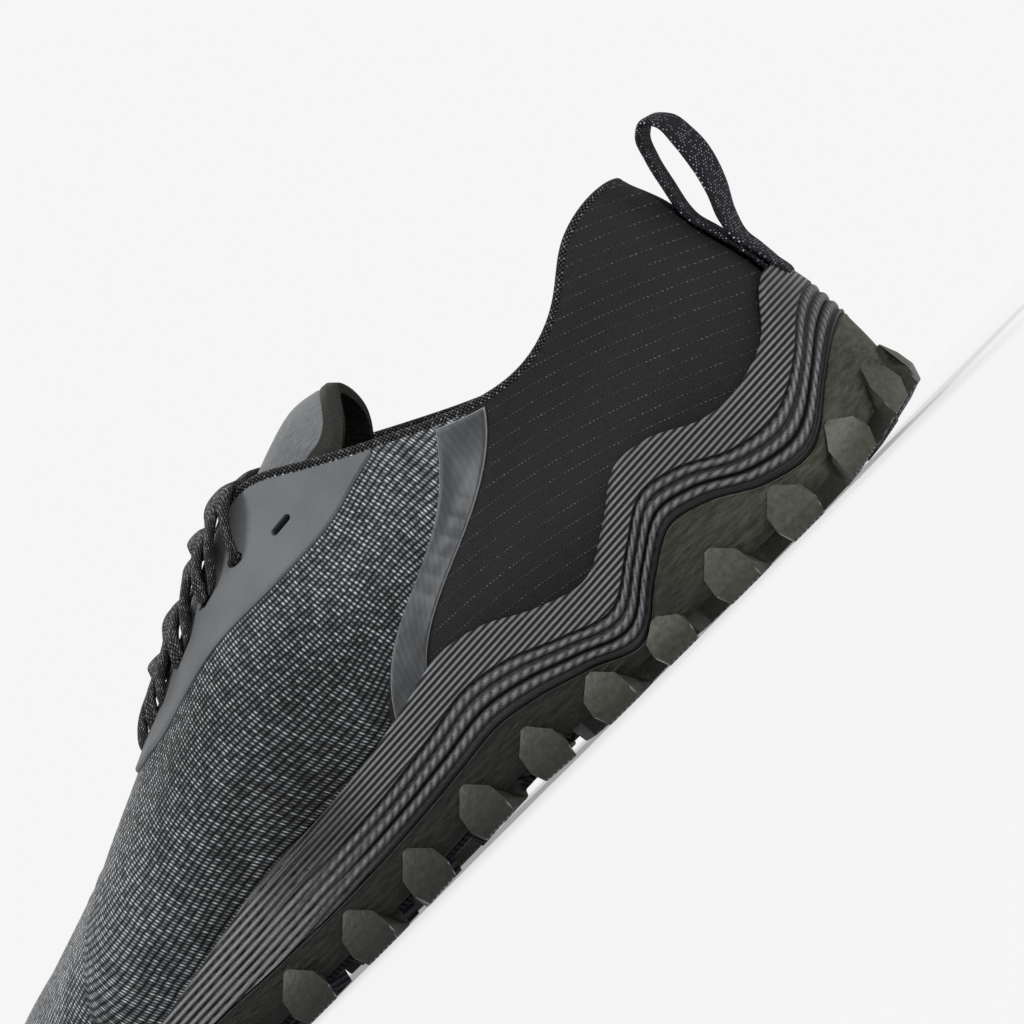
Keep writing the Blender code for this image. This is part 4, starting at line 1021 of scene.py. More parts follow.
def build_upper(cutter):
    """Hollow shell with the knit and ripstop outside and the lining inside."""
    ring = ring_samples(UPPER_COLUMNS)
    count = len(ring)
    shares = np.linspace(0.0, 1.0, UPPER_ROWS + 1)
    outer = creased_surface(ring[None, :], shares[:, None])
    first_closed = THROAT_ROW * UPPER_COLUMNS
    closed = np.arange(first_closed, count - first_closed + 1)
    for i in closed:
        middle = 0.5 * (outer[-1, i] + outer[-1, count - i])
        outer[-1, i] = middle
        outer[-1, count - i] = middle
    normals = upper_normal(ring[None, :], shares[:, None])
    for i in closed:
        middle = normals[-1, i] + normals[-1, count - i]
        # at the tip both sides cancel out, and the point beside it serves
        if np.linalg.norm(middle) < 0.1:
            middle = normals[-1, i - 1]
        middle = middle / np.linalg.norm(middle)
        normals[-1, i] = middle
        normals[-1, count - i] = middle
    inner = outer - UPPER_WALL * normals
    inner[0, :, 2] = outer[0, :, 2]
    row = np.minimum(ring, RING - ring)
    rear = 0.5 + (strap_ring(shares[:, None]) - row[None, :]) * 2.0
    # The height share also paints the knit darker towards the sole: painted shade.
    values = {"rear": np.clip(rear, 0, 1), "height": np.repeat(shares[:, None], count, axis=1)}
    depths = grid_lengths(outer[::-1], 0)[::-1] * 1000
    tip = KNIT_LINE[0][0]
    low = table_at(*zip(*KNIT_LINE), np.maximum(row, tip))
    low = low + KNIT_REAR_SLOPE * (tip - np.minimum(row, tip))
    edge_depth = np.array([np.interp(min(share, 1.0), shares, depths[:, i])
                           for i, share in enumerate(low)])
    edge_depth -= np.maximum(low - 1.0, 0.0) * depths[0] * 1.15
    made = shell("upper", outer, inner, True, [upper_finish(), lining_finish()], values,
                 row_shift=-edge_depth[None, :])
    work = bmesh.new()
    work.from_mesh(made.data)
    work.verts.ensure_lookup_table()
    top = UPPER_ROWS * count
    shift = (UPPER_ROWS + 1) * count
    ridge = {work.verts[top + i] for i in closed} | {work.verts[top + shift + i] for i in closed}
    strips = [face for face in work.faces if all(vert in ridge for vert in face.verts)]
    bmesh.ops.delete(work, geom=strips, context="FACES_ONLY")
    bmesh.ops.remove_doubles(work, verts=list(ridge), dist=1e-7)
    bmesh.ops.recalc_face_normals(work, faces=work.faces)
    work.to_mesh(made.data)
    work.free()
    punch(made, cutter)
    return place(made, ["upper"], "knit_upper")


# Overlays: thickness of the films, width of the rolled edge, and how deep the back lies
FILM_THICKNESS = 0.0006
OVERLAY_ROLL = 0.0007
OVERLAY_SINK = 0.0001


def overlay(name, rings, shares, material, slot_name, thickness, cutter=None):
    """Thin piece lying on the upper, with its edges rolled down."""
    face = creased_surface(rings, shares)
    normal = upper_normal(rings, shares)
    across = grid_lengths(face, 1)
    along = grid_lengths(face, 0)
    edge = np.minimum(np.minimum(across, across[:, -1:] - across), np.minimum(along, along[-1:] - along))
    rise = thickness * (0.35 + 0.65 * smooth_step(edge / OVERLAY_ROLL))
    outer = face + normal * (OVERLAY_GAP + rise)[..., None]
    inner = face - normal * OVERLAY_SINK
    made = shell(name, outer, inner, False, [material], {"edge": edge * 1000})
    outward(made)
    if cutter:
        punch(made, cutter)
    return place(made, [name], slot_name)


def build_eyestays(cutter):
    material = overlay_finish()
    places = np.linspace(EYESTAY[0][0], EYESTAY[-1][0], 150)
    table_rings, table_low, table_high = zip(*EYESTAY)
    low = table_at(table_rings, table_low, places)
    high = table_at(table_rings, table_high, places)
    steps = np.linspace(0.0, 1.0, 34)
    shares = low[:, None] + (high - low)[:, None] * steps[None, :]
    rings = np.repeat(places[:, None], len(steps), axis=1)
    for side, name in (("outer", "eyestay_lateral"), ("inner", "eyestay_medial")):
        overlay(name, side_ring(rings, side), shares, material, "smooth_overlay", OVERLAY_THICKNESS, cutter)


def build_straps():
    material = strap_finish()
    climb = np.linspace(0.0, 1.0, 130)
    across = np.linspace(-1.0, 1.0, 30)
    for side, name in (("outer", "strap_lateral"), ("inner", "strap_medial")):
        middle = STRAP_FOOT_RING + (STRAP_TOP_RING - STRAP_FOOT_RING) * climb
        widen = 1.0 + 0.20 * np.exp(-((climb - 1.0) / 0.22) ** 2)
        rings = middle[:, None] + STRAP_HALF_RINGS * widen[:, None] * across[None, :]
        foot = rim_share(side_ring(rings[0], side)) - 0.01
        shares = foot[None, :] + (STRAP_HEAD + 0.026 - foot)[None, :] * climb[:, None]
        overlay(name, side_ring(rings, side), shares, material, "clear_strap", FILM_THICKNESS)


def build_toe_cap():
    rings = np.linspace(TOE_CAP_START, RING - TOE_CAP_START, 170)
    ends = np.abs(rings - LAST_ROW) / (LAST_ROW - TOE_CAP_START)
    foot = rim_share(rings) + 0.005
    head = foot + 0.055 + TOE_CAP_HEIGHT * (0.12 + 0.88 * np.sqrt(np.clip(1.0 - ends ** 2, 0.0, 1.0)))
    steps = np.linspace(0.0, 1.0, 30)
    shares = foot[:, None] + (head - foot)[:, None] * steps[None, :]
    rings = np.repeat(rings[:, None], len(steps), axis=1)
    material = grained_finish("toe_film", 0.55, 0.4, 2400.0, "#2a2b2d", "#3c3d40", 0.00015)
    overlay("toe_cap", rings, shares, material, "toe_film", FILM_THICKNESS)


def outline_lengths():
    """Closely spaced ring numbers and the lengths along the outline there."""
    ring = np.linspace(0.0, RING, RING * 40 + 1)
    edge, _ = outline(ring)
    steps = np.linalg.norm(np.diff(edge, axis=0), axis=1)
    return ring, np.concatenate(([0.0], np.cumsum(steps)))


def outline_run(ring):
    """Length run along the outline from the middle of the heel, by the shorter way."""
    fine, run = outline_lengths()
    there = np.interp(ring, fine, run)
    return np.minimum(there, run[-1] - there)


# Side band: rope rows between two height shares, twisted, with level ribs above them
ROPE_COUNT = 3
ROPE_FOOT = 0.075
ROPE_HEAD = 0.52
ROPE_DEPTH = 0.00125
STRAND_PITCH = 0.0027
STRAND_TWIST = 1.35
RIB_PITCH = 0.00130
RIB_TILT = math.radians(3.0)
BEAD_DEPTH = 0.0007
RIM_ROLL = 0.0011
# Round the toe the rope rows give way to slanting ribs, between two lengths along the outline
TOE_RIB_START = 0.165
TOE_RIB_END = 0.215
TOE_RIB_PITCH = 0.0019
TOE_RIB_DEPTH = 0.0006
TOE_RIB_TILT = math.radians(5.0)


def band_relief(run, share, height):
    """Depth of the ropes and ribs below the band's face, 0 to 1 on their crests, and where level ribs lie."""
    place = (share - ROPE_FOOT) / (ROPE_HEAD - ROPE_FOOT) * ROPE_COUNT
    across = np.mod(place, 1.0)
    hump = np.clip(1.0 - (2 * across - 1) ** 2, 0.0, 1.0) ** 0.65
    part = np.mod(run / STRAND_PITCH + across * STRAND_TWIST, 1.0)
    strand = np.sqrt(np.clip(1.0 - (2 * part - 1) ** 2, 0.0, 1.0))
    rope = hump * (0.50 + 0.50 * strand)
    in_ropes = smooth_step((place + 0.08) / 0.1) * smooth_step((ROPE_COUNT + 0.02 - place) / 0.1)
    long_phase = (share * height * 1.15 + run * math.tan(TOE_RIB_TILT)) / TOE_RIB_PITCH
    long_rib = np.abs(np.cos(math.pi * long_phase)) ** 0.7
    to_toe = smooth_step((run - TOE_RIB_START) / (TOE_RIB_END - TOE_RIB_START))
    above = smooth_step((share - ROPE_HEAD) / 0.02)
    bead = smooth_step((share - 0.012) / 0.015) * smooth_step((ROPE_FOOT - 0.02 - share) / 0.015)
    depth = ROPE_DEPTH * (1.0 - rope) * in_ropes
    depth += BEAD_DEPTH * (1.0 - bead) * (1.0 - smooth_step((share - ROPE_FOOT + 0.01) / 0.02)) * 0.7
    toe_depth = TOE_RIB_DEPTH * (1.0 - long_rib)
    crest = rope ** 1.3 * in_ropes + bead * 0.7
    depth = depth * (1 - to_toe) + toe_depth * to_toe
    ribbed = above * (1 - to_toe)
    return depth, np.clip(crest * (1 - to_toe) + long_rib * to_toe, 0.0, 1.0), ribbed


def ring_stack(name, rings, materials, values=None, sharp=38):
    """Closed body through a stack of rings, whose first and last ring are closed across."""
    count = len(rings[0])
    points = np.array(rings)
    lengths_u = grid_lengths(np.concatenate((points, points[:, :1]), axis=1), 1) * 1000
    lengths_u = lengths_u[len(rings) // 2]
    lengths_v = grid_lengths(points, 0) * 1000
    faces, corners = [], []
    for level in range(len(rings) - 1):
        low = level * count
        high = low + count
        for i in range(count):
            j = (i + 1) % count
            faces.append((low + i, low + j, high + j, high + i))
            corners.extend(((lengths_u[i], lengths_v[level, i]), (lengths_u[i + 1], lengths_v[level, j]),
                            (lengths_u[i + 1], lengths_v[level + 1, j]),
                            (lengths_u[i], lengths_v[level + 1, i])))
    half = count // 2
    flat = points.reshape(-1, 3)
    for start in (0, (len(rings) - 1) * count):
        caps = [(start, start + 1, start + count - 1)]
        caps += [(start + i, start + i + 1, start + count - i - 1, start + count - i)
                 for i in range(1, half - 1)]
        caps.append((start + half - 1, start + half, start + half + 1))
        for cap in caps:
            faces.append(cap)
            corners.extend((flat[k, 0] * 1000, flat[k, 1] * 1000) for k in cap)
    return piece_from(name, flat, faces, materials, corners, values, sharp=sharp)


def build_midsole():
    """Foam sole, with rope rows and thin ribs round its side."""
    ring = ring_samples(SOLE_COLUMNS)
    edge, _ = outline(ring)
    along = -edge[:, 0] / LENGTH
    run = outline_run(ring)
    bottom = base_height(along) + RUBBER_BASE + 2 * CLEARANCE
    ledge = rubber_height(along) + CLEARANCE
    rim = rim_height(along)
    corner = np.minimum(CORNER, 0.5 * (ledge - bottom))
    inner = np.full(len(ring), -(RUBBER_WALL + CLEARANCE))
    rings = [
        floor_ring(ring, RUBBER_WALL + CLEARANCE + CORNER, RUBBER_BASE + 2 * CLEARANCE),
        wall_ring(ring, inner, bottom + corner),
        wall_ring(ring, inner, ledge),
    ]
    plain = [np.zeros(len(ring))] * 3
    ridges = list(plain)
    ribs = list(plain)
    height = rim - ledge
    for share in np.linspace(0.0, 1.0, BAND_ROWS + 1):
        depth, crest, ribbed = band_relief(run, share, height)
        roll = RIM_ROLL * smooth_step((share - 0.93) / 0.07)
        offset = CLEARANCE - (RIM_INSET - RIM_ROLL + CLEARANCE) * share ** 2.2 - depth - roll
        rings.append(wall_ring(ring, offset, ledge + share * height))
        ridges.append(crest)
        ribs.append(ribbed)
    leave = rim_share(ring)
    for part in (0.98, 0.5):
        rings.append(upper_surface(ring, leave * part) + 0.5 * CLEARANCE * upper_normal(ring, leave * part))
    seat = upper_surface(ring, 0 * leave) + CLEARANCE * upper_normal(ring, 0 * leave)
    seat[:, 2] = footbed_height(along)
    rings.append(seat)
    ridges += plain
    ribs += plain
    # The ridge values paint the foam lighter on the rope and rib crests and darker between them: painted
    # highlight and shade.
    values = {"ridge": np.array(ridges), "ribbed": np.array(ribs), "run": np.tile(run, len(rings))}
    made = ring_stack("midsole", rings, [foam_finish()], values, sharp=60)
    outward(made)
    return place(made, ["midsole"], "midsole_foam")


def ring_at_length(lengths):
    ring, run = outline_lengths()
    return np.interp(np.mod(lengths, run[-1]), run, ring)


def lug_places():
    """Lengths along the outline at the middle of each side lug."""
    _, run = outline_lengths()
    count = int(round(run[-1] / LUG_PITCH))
    return np.arange(count) * run[-1] / count


def at_edge(length, offset, height_from_base):
    """Point at a length along the outline, a distance out of it and a height over the base."""
    ring = ring_at_length(np.array([length]))
    edge, out = outline(ring)
    x, y = edge[0] + out[0] * offset
    base = base_height(np.array([-min(x, 0.0) / LENGTH]))
    return (x, y, base[0] + height_from_base)


def over_midfoot_insert(length):
    ring = ring_at_length(np.array([length]))
    edge, _ = outline(ring)
    along = -edge[0, 0] / LENGTH
    return edge[0, 1] > 0 and MIDFOOT_INSERT[0][0] - 0.02 < along < MIDFOOT_INSERT[-1][0] + 0.02


def fan_in(middle, reach):
    """Share of its width that a block keeps at its inner end, where the outline bends."""
    spread = LUG_PITCH / 2
    ring = ring_at_length(np.array([middle - spread, middle + spread]))
    edge, out = outline(ring)
    inside = edge - out * reach
    return min(1.0, float(np.linalg.norm(inside[1] - inside[0]) / LUG_PITCH))


def edge_lug(middle, skew, reach):
    """Block of the tread's edge: a ground face that turns up the side in an arrow head."""
    half = 0.5 * SIDE_LUG_WIDTH
    root_share = 0.80 * fan_in(middle, reach)
    ring = ring_at_length(np.array([middle]))
    edge, _ = outline(ring)
    along = -edge[:, 0] / LENGTH
    room = float((rubber_height(along) - base_height(along))[0]) - 2 * CLEARANCE
    peak = min(SIDE_LUG_HEIGHT - LUG_DEPTH, room)
    embed = -0.6 * RUBBER_WALL
    root = 0.6 * RUBBER_BASE
    profile = (
        (skew, root_share, -reach, root),
        (skew, 0.82 * root_share, -reach, -LUG_DEPTH),
        (0.0, 0.80, 0.55 * LUG_PROUD, -LUG_DEPTH),
        (0.0, 1.00, LUG_PROUD, -0.2 * LUG_DEPTH),
        (0.0, 0.90, 0.75 * LUG_PROUD, 0.45 * peak),
        (0.0, 0.15, 0.25 * LUG_PROUD, peak),
        (0.0, 0.15, embed, peak),
        (0.0, 0.90, embed, root),
    )
    return [[at_edge(middle + shift + side * half * share, offset, height)
             for shift, share, offset, height in profile] for side in (-1.0, 1.0)]


def side_edges():
    """Outer and inner edge of the outline as functions of the length."""
    ring = np.linspace(0.0, LAST_ROW, LAST_ROW * 20 + 1)
    outer, _ = outline(ring)
    inner, _ = outline(RING - ring)
    return outer, inner


def on_tread(along, across):
    """Level place under the sole, from shares of the length and of the half width."""
    outer, inner = side_edges()
    x = -along * LENGTH
    outer_y = np.interp(along * LENGTH, -outer[:, 0], outer[:, 1])
    inner_y = np.interp(along * LENGTH, -inner[:, 0], inner[:, 1])
    return x, outer_y + (inner_y - outer_y) * (across + 1) / 2


def blade_outline(slant, side):
    """Arrow-shaped blade, turned by its slant and mirrored on the inner side."""
    points = ((-0.50, -0.50), (-0.56, 0.25), (-0.30, 0.75), (0.50, 0.50), (0.44, -0.50))
    turn = math.radians(slant)
    corners = []
    for long, wide in points:
        x = long * BLADE_LENGTH
        y = wide * BLADE_WIDTH
        corners.append((x * math.sin(turn) - y * math.cos(turn),
                        side * (x * math.cos(turn) + y * math.sin(turn))))
    return corners


def stud_outline():
    return [(STUD_RADIUS * math.cos(math.radians(72 * k)), STUD_RADIUS * math.sin(math.radians(72 * k)))
            for k in range(5)]


def heel_blocks():
    """Place and outline of each blade and stud of the outsole."""
    blocks = []
    for along, outer, inner, slant in BLADE_ROWS:
        for across, side in ((outer, 1.0), (inner, -1.0)):
            if across is not None:
                blocks.append((on_tread(along, across), blade_outline(slant, side)))
    blocks += [(on_tread(along, across), stud_outline()) for along, across in STUD_ROWS]
    return blocks


def lug_mesh():
    """All lugs of the outsole with softened edges: slot 1 facets, slot 2 ground faces."""
    work = bmesh.new()
    for index, middle in enumerate(lug_places()):
        skew = EDGE_LUG_SKEW if index % 2 else -EDGE_LUG_SKEW
        reach = EDGE_LUG_REACH * (1.0 if index % 2 else 0.8)
        if fan_in(middle, reach) < 0.85:
            skew = 0.0
        if over_midfoot_insert(middle):
            skew = 0.0
            reach = 0.25 * EDGE_LUG_REACH
        left, right = [[work.verts.new(point) for point in side]
                       for side in edge_lug(middle, skew, reach)]
        count = len(left)
        work.faces.new(left)
        work.faces.new(right[::-1])
        for k in range(count):
            m = (k + 1) % count
            work.faces.new((left[m], left[k], right[k], right[m]))
    for (x, y), corners in heel_blocks():
        loops = []
        for share, level in ((1.0, 0.6 * RUBBER_BASE), (0.84, -LUG_DEPTH)):
            loop = []
            for dx, dy in corners:
                px = x + dx * share
                height = float(base_height(np.array([-px / LENGTH]))[0])
                loop.append(work.verts.new((px, y + dy * share, height + level)))
            loops.append(loop)
        work.faces.new(loops[0])
        work.faces.new(loops[1][::-1])
        for k in range(len(corners)):
            m = (k + 1) % len(corners)
            work.faces.new((loops[0][k], loops[1][k], loops[1][m], loops[0][m]))
    bmesh.ops.recalc_face_normals(work, faces=work.faces)
    ends = [face for face in work.faces if len(face.verts) > 4]
    bmesh.ops.triangulate(work, faces=ends, ngon_method="EAR_CLIP")
    crisp = [edge for edge in work.edges if edge.calc_face_angle(0.0) > math.radians(24)]
    bmesh.ops.bevel(work, geom=crisp, offset=0.00035, offset_type="OFFSET", segments=2, profile=0.6,
                    affect="EDGES", clamp_overlap=True)
    bmesh.ops.recalc_face_normals(work, faces=work.faces)
    for face in work.faces:
        normal = face.normal
        face.material_index = 2 if normal.z < -0.35 else 1
        face.smooth = True
    for vert in work.verts:
        vert.co = vert.co + bpy_vector(SHIFT)
    mesh = bpy.data.meshes.new("lugs")
    work.to_mesh(mesh)
    work.free()
    return mesh


def bpy_vector(values):
    return Vector([float(value) for value in values])


# Rubber cup: its rounded foot, how far foot and side lie inside the outline, and the side's bulge
FOOT_ROUND = 0.0016
FOOT_INSET = 0.0018
FOOT_MIDDLE_INSET = 0.0011
SIDE_INSET = 0.0007
SIDE_FLARE = 0.0006
SIDE_BULGE = 0.0003


def build_outsole():
    """Rubber cup with its lugs."""
    ring = ring_samples(RUBBER_COLUMNS)
    edge, _ = outline(ring)
    along = -edge[:, 0] / LENGTH
    base = base_height(along)
    top = rubber_height(along)
    floor = base + RUBBER_BASE
    ledge = top + CLEARANCE
    corner = np.minimum(CORNER, 0.5 * (ledge - floor - CLEARANCE))
    same = np.ones(len(ring))
    foot = np.minimum(FOOT_ROUND, 0.4 * (top - base))
    rings = [
        floor_ring(ring, FOOT_INSET, 0.0),
        wall_ring(ring, -FOOT_MIDDLE_INSET * same, base + 0.5 * foot),
        wall_ring(ring, -SIDE_INSET * same, base + foot),
    ]
    for share in np.linspace(0.15, 0.90, 8):
        offset = (SIDE_FLARE * share - SIDE_INSET) * same + SIDE_BULGE * np.sin(math.pi * share)
        rings.append(wall_ring(ring, offset, base + foot + share * (top - base - foot)))
    rings += [
        wall_ring(ring, 0.0001 * same, top - 0.0004),
        wall_ring(ring, -0.0002 * same, top),
        wall_ring(ring, -RUBBER_WALL * same, top),
        wall_ring(ring, -RUBBER_WALL * same, floor + corner),
        floor_ring(ring, RUBBER_WALL + CORNER, RUBBER_BASE),
    ]
    ground = ribbed_finish("ground_ribs", "#26262a", "#77777e", 1.15, 0.7)
    materials = [rubber_finish(), facet_finish(), ground]
    made = outward(ring_stack("outsole", rings, materials, sharp=50))
    mesh = lug_mesh()
    for material in materials:
        mesh.materials.append(material)
    lugs = bpy.data.objects.new("lugs", mesh)
    bpy.context.scene.collection.objects.link(lugs)
    modifier = made.modifiers.new("lugs", "BOOLEAN")
    modifier.operation = "UNION"
    modifier.solver = "EXACT"
    modifier.object = lugs
    apply_modifiers(made)
    bpy.data.objects.remove(lugs, do_unlink=True)
    made.data.set_sharp_from_angle(angle=math.radians(32))
    return place(made, ["outsole"], "outsole_rubber")


# Footbed: rounding of its edge, depth of the dish, and how far the dish reaches in
INSOLE_ROUND = 0.0016
INSOLE_CUP = 0.0012
INSOLE_DISH = 0.020


def build_insole():
    """Loose footbed with a rounded edge and a shallow dish."""
    ring = ring_samples(INSOLE_COLUMNS)
    edge, _ = outline(ring)
    along = -edge[:, 0] / LENGTH
    inset = -(FEATHER_INSET + UPPER_WALL + 2 * CLEARANCE) * np.ones(len(ring))
    bottom = footbed_height(along) + CLEARANCE
    rings = [wall_ring(ring, inset, bottom)]
    for share in np.linspace(0.0, 1.0, 6):
        turn = share * math.pi / 2
        rings.append(wall_ring(ring, inset - INSOLE_ROUND * (1 - math.cos(turn)),
                               bottom + INSOLE_THICKNESS - INSOLE_ROUND * (1 - math.sin(turn))))
    for share in (0.25, 0.5, 0.75):
        dip = INSOLE_CUP * smooth_step(share)
        rings.append(wall_ring(ring, inset - INSOLE_ROUND - INSOLE_DISH * share,
                               bottom + INSOLE_THICKNESS - dip))
    made = outward(ring_stack("insole", rings, [insole_finish()]))
    return place(made, ["insole"], "insole_fabric")


def tongue_under(ring):
    """Points across the tongue where it lies under the throat's edges, arched between them."""
    tuck = TONGUE_TUCK * (0.45 + 0.55 * float(smooth_step((ring - TONGUE_EXIT_RING) / 1.2)))
    shares = np.array([1.0 - tuck, 1.0 - 0.5 * tuck, 1.0])
    under_vamp = float(smooth_step((ring - THROAT_ROW + 0.8) / 0.6))
    depth = UPPER_WALL + (6 + 4 * under_vamp) * CLEARANCE
    left, right = [], []
    for name, line in (("outer", left), ("inner", right)):
        rings = side_ring(np.full(3, float(ring)), name)
        line.extend(upper_surface(rings, shares) - upper_normal(rings, shares) * depth)
    crown = TONGUE_CROWN * float(smooth_step((THROAT_ROW - 0.35 - ring) / 1.2))
    middle = 0.5 * (left[-1] + right[-1]) + np.array((0.0, 0.0, crown))
    arch = np.array((0.0, 0.0, 0.22 * crown))
    between_left = 0.5 * (left[-1] + middle) + arch
    between_right = 0.5 * (right[-1] + middle) + arch
    return np.array([left[0], left[1], between_left, middle, between_right, right[1], right[0]])


def tongue_free(root, share):
    """Points across the tongue behind the throat, free inside the collar."""
    places = np.array([-1.0, -0.72, -0.38, 0.0, 0.38, 0.72, 1.0])
    half = TONGUE_HALF_WIDTH * (0.90 + 0.10 * share)
    middle = root[3] + np.array((TONGUE_REACH * share, 0.0, TONGUE_RISE * share))
    line = np.repeat(middle[None, :], len(places), axis=0)
    line[:, 1] += half * places
    line[:, 2] -= TONGUE_DROP * np.abs(places) ** 1.8
    return line


def smooth_columns(lines, count):
    """Each line of points resampled along a smooth curve."""
    places = np.linspace(0.0, 1.0, lines.shape[1])
    fine = np.linspace(0.0, 1.0, count)
    return np.stack([np.stack([table_at(places, line[:, axis], fine) for axis in range(3)], axis=-1)
                     for line in lines])


# Tongue: its end's rows, how its corners are drawn in and lowered, its dome, its edge and seam
TONGUE_END_ROWS = 34
TONGUE_CORNER_PULL = 0.0085
TONGUE_CORNER_DROP = 0.0015
TONGUE_DOME = 0.0022
TONGUE_TIP_DROP = 0.0012
TONGUE_ROUND = 0.0016
TONGUE_CORNER_POWER = 1.35
SEAM_PLACE = 0.0038
SEAM_WIDTH = 0.0004
SEAM_DEPTH = 0.0004
TONGUE_SWELL = 0.0009


def build_tongue():
    """Padded tongue with a turned edge."""
    rings = np.linspace(TONGUE_ROOT_RING, TONGUE_EXIT_RING, 8)
    root = tongue_under(TONGUE_EXIT_RING)
    lines = [tongue_under(ring) for ring in rings]
    lines += [tongue_free(root, share) for share in (0.36, 0.68, 1.0)]
    grid = smooth_columns(np.array(lines), 49)
    grid = smooth_columns(grid.transpose(1, 0, 2), 121).transpose(1, 0, 2)
    across = np.abs(np.linspace(-1.0, 1.0, grid.shape[1]))
    normal = grid_normals(grid, False)
    if normal[..., 2].mean() < 0:
        normal = -normal
    pull = np.linspace(0.0, 1.0, TONGUE_END_ROWS)[:, None]
    end = grid[-TONGUE_END_ROWS:]
    end[..., 0] -= TONGUE_CORNER_PULL * pull ** 1.6 * across[None, :] ** 3.4
    end[..., 2] -= TONGUE_CORNER_DROP * pull * across[None, :] ** 2
    end[..., 2] += TONGUE_DOME * np.sin(math.pi * pull) - TONGUE_TIP_DROP * pull ** 2
    sideways = grid_lengths(grid, 1)
    lengthways = grid_lengths(grid, 0)
    side_edge = np.minimum(sideways, sideways[:, -1:] - sideways)
    end_edge = lengthways[-1:] - lengthways
    power = TONGUE_CORNER_POWER
    edge = ((side_edge + 1e-6) ** -power + (end_edge + 1e-6) ** -power) ** (-1 / power)
    plump = smooth_step(edge / TONGUE_ROUND)
    seam = np.exp(-((edge - SEAM_PLACE) / SEAM_WIDTH) ** 2)
    swell = TONGUE_SWELL * smooth_step((edge - 0.004) / 0.006)
    free = smooth_step((lengthways - 0.052) / 0.02)
    lift = (swell - SEAM_DEPTH * seam) * free - TONGUE_ROUND * (1 - plump)
    outer = grid + normal * lift[..., None]
    inner = grid - normal * (TONGUE_THICKNESS * (0.42 + 0.58 * plump))[..., None]
    back = grained_finish("tongue_back", 0.88, 0.15, 1300.0, "#161615", "#282824", 0.0003)
    made = shell("tongue", outer, inner, False, [tongue_finish(), back], {"edge": edge * 1000})
    outward(made)
    place(made, ["tongue"], "tongue_fabric")
    return made


def resampled(path, step, closed):
    """Path at even steps, on a smooth curve through its points."""
    points = np.asarray(path, float)
    if closed:
        points = np.concatenate((points, points[:1]))
    run = np.concatenate(([0.0], np.cumsum(np.linalg.norm(np.diff(points, axis=0), axis=1))))
    count = max(int(round(run[-1] / step)), 4)
    places = np.linspace(0.0, run[-1], count + (0 if closed else 1), endpoint=not closed)
    return np.stack([table_at(run, points[:, axis], places) for axis in range(3)], axis=-1)


def braided(path, width, height, strands, pitch, sides, pinch, closed=False):
    """Points, faces and braid coordinates of a cord along a path, pinched as a function says."""
    line = resampled(path, BRAID_STEP, closed)
    count = len(line)
    if closed:
        run = np.roll(line, -1, axis=0) - np.roll(line, 1, axis=0)
    else:
        run = np.gradient(line, axis=0)
    run = run / np.linalg.norm(run, axis=1, keepdims=True)
    lengths = np.arange(count) * BRAID_STEP
    side = np.cross(run, (0.0, 0.0, 1.0))
    side = side / np.maximum(np.linalg.norm(side, axis=1, keepdims=True), 1e-9)
    lift = np.cross(side, run)
    turn = 2 * math.pi * np.arange(sides) / sides
    narrow = pinch(np.linspace(0.0, 1.0, count))
    if not closed:
        ends = np.minimum(lengths, lengths[-1] - lengths)
        narrow = narrow * (0.45 + 0.55 * smooth_step(ends / 0.001))
    radius_a = (width / 2 * narrow)[:, None]
    radius_b = (height / 2 * (0.5 + 0.5 * narrow))[:, None]
    flat = np.abs(np.cos(turn)) ** 0.8 * np.sign(np.cos(turn))
    points = (line[:, None, :] + side[:, None, :] * (radius_a * flat)[..., None]
              + lift[:, None, :] * (radius_b * np.sin(turn))[..., None])
    faces, uvs = [], []
    cell = strands / sides
    for i in range(count if closed else count - 1):
        j = (i + 1) % count
        for k in range(sides):
            m = (k + 1) % sides
            faces.append((i * sides + k, i * sides + m, j * sides + m, j * sides + k))
            here = i * BRAID_STEP / pitch
            there = (i + 1) * BRAID_STEP / pitch
            uvs += [(k * cell, here), (k * cell + cell, here), (k * cell + cell, there), (k * cell, there)]
    if not closed:
        faces.append(tuple(range(sides)))
        faces.append(tuple((count - 1) * sides + k for k in range(sides)))
        uvs += [(0.5, 0.0)] * (2 * sides)
    return points.reshape(-1, 3), faces, uvs


def join_tubes(name, tubes, material):
    """One piece from several cords."""
    points, faces, uvs = [], [], []
    start = 0
    for tube_points, tube_faces, tube_uvs in tubes:
        points.append(tube_points)
        uvs.extend(tube_uvs)
        faces.extend(tuple(index + start for index in face) for face in tube_faces)
        start += len(tube_points)
    made = piece_from(name, np.concatenate(points), faces, [material], uvs, sharp=180)
    return outward(made)


# Braids: strands round a cord and the length of a stitch
BINDING_STRANDS = 8
BINDING_STITCH = 0.0011
LACE_STRANDS = 12
LACE_STITCH = 0.0013
# Share of its width that a lace keeps in a slot, its height over the upper, and its bow
LACE_PINCH = 0.74
TOP_PINCH = 0.90
LACE_OVER = 0.0022
LACE_BOW = 0.0006


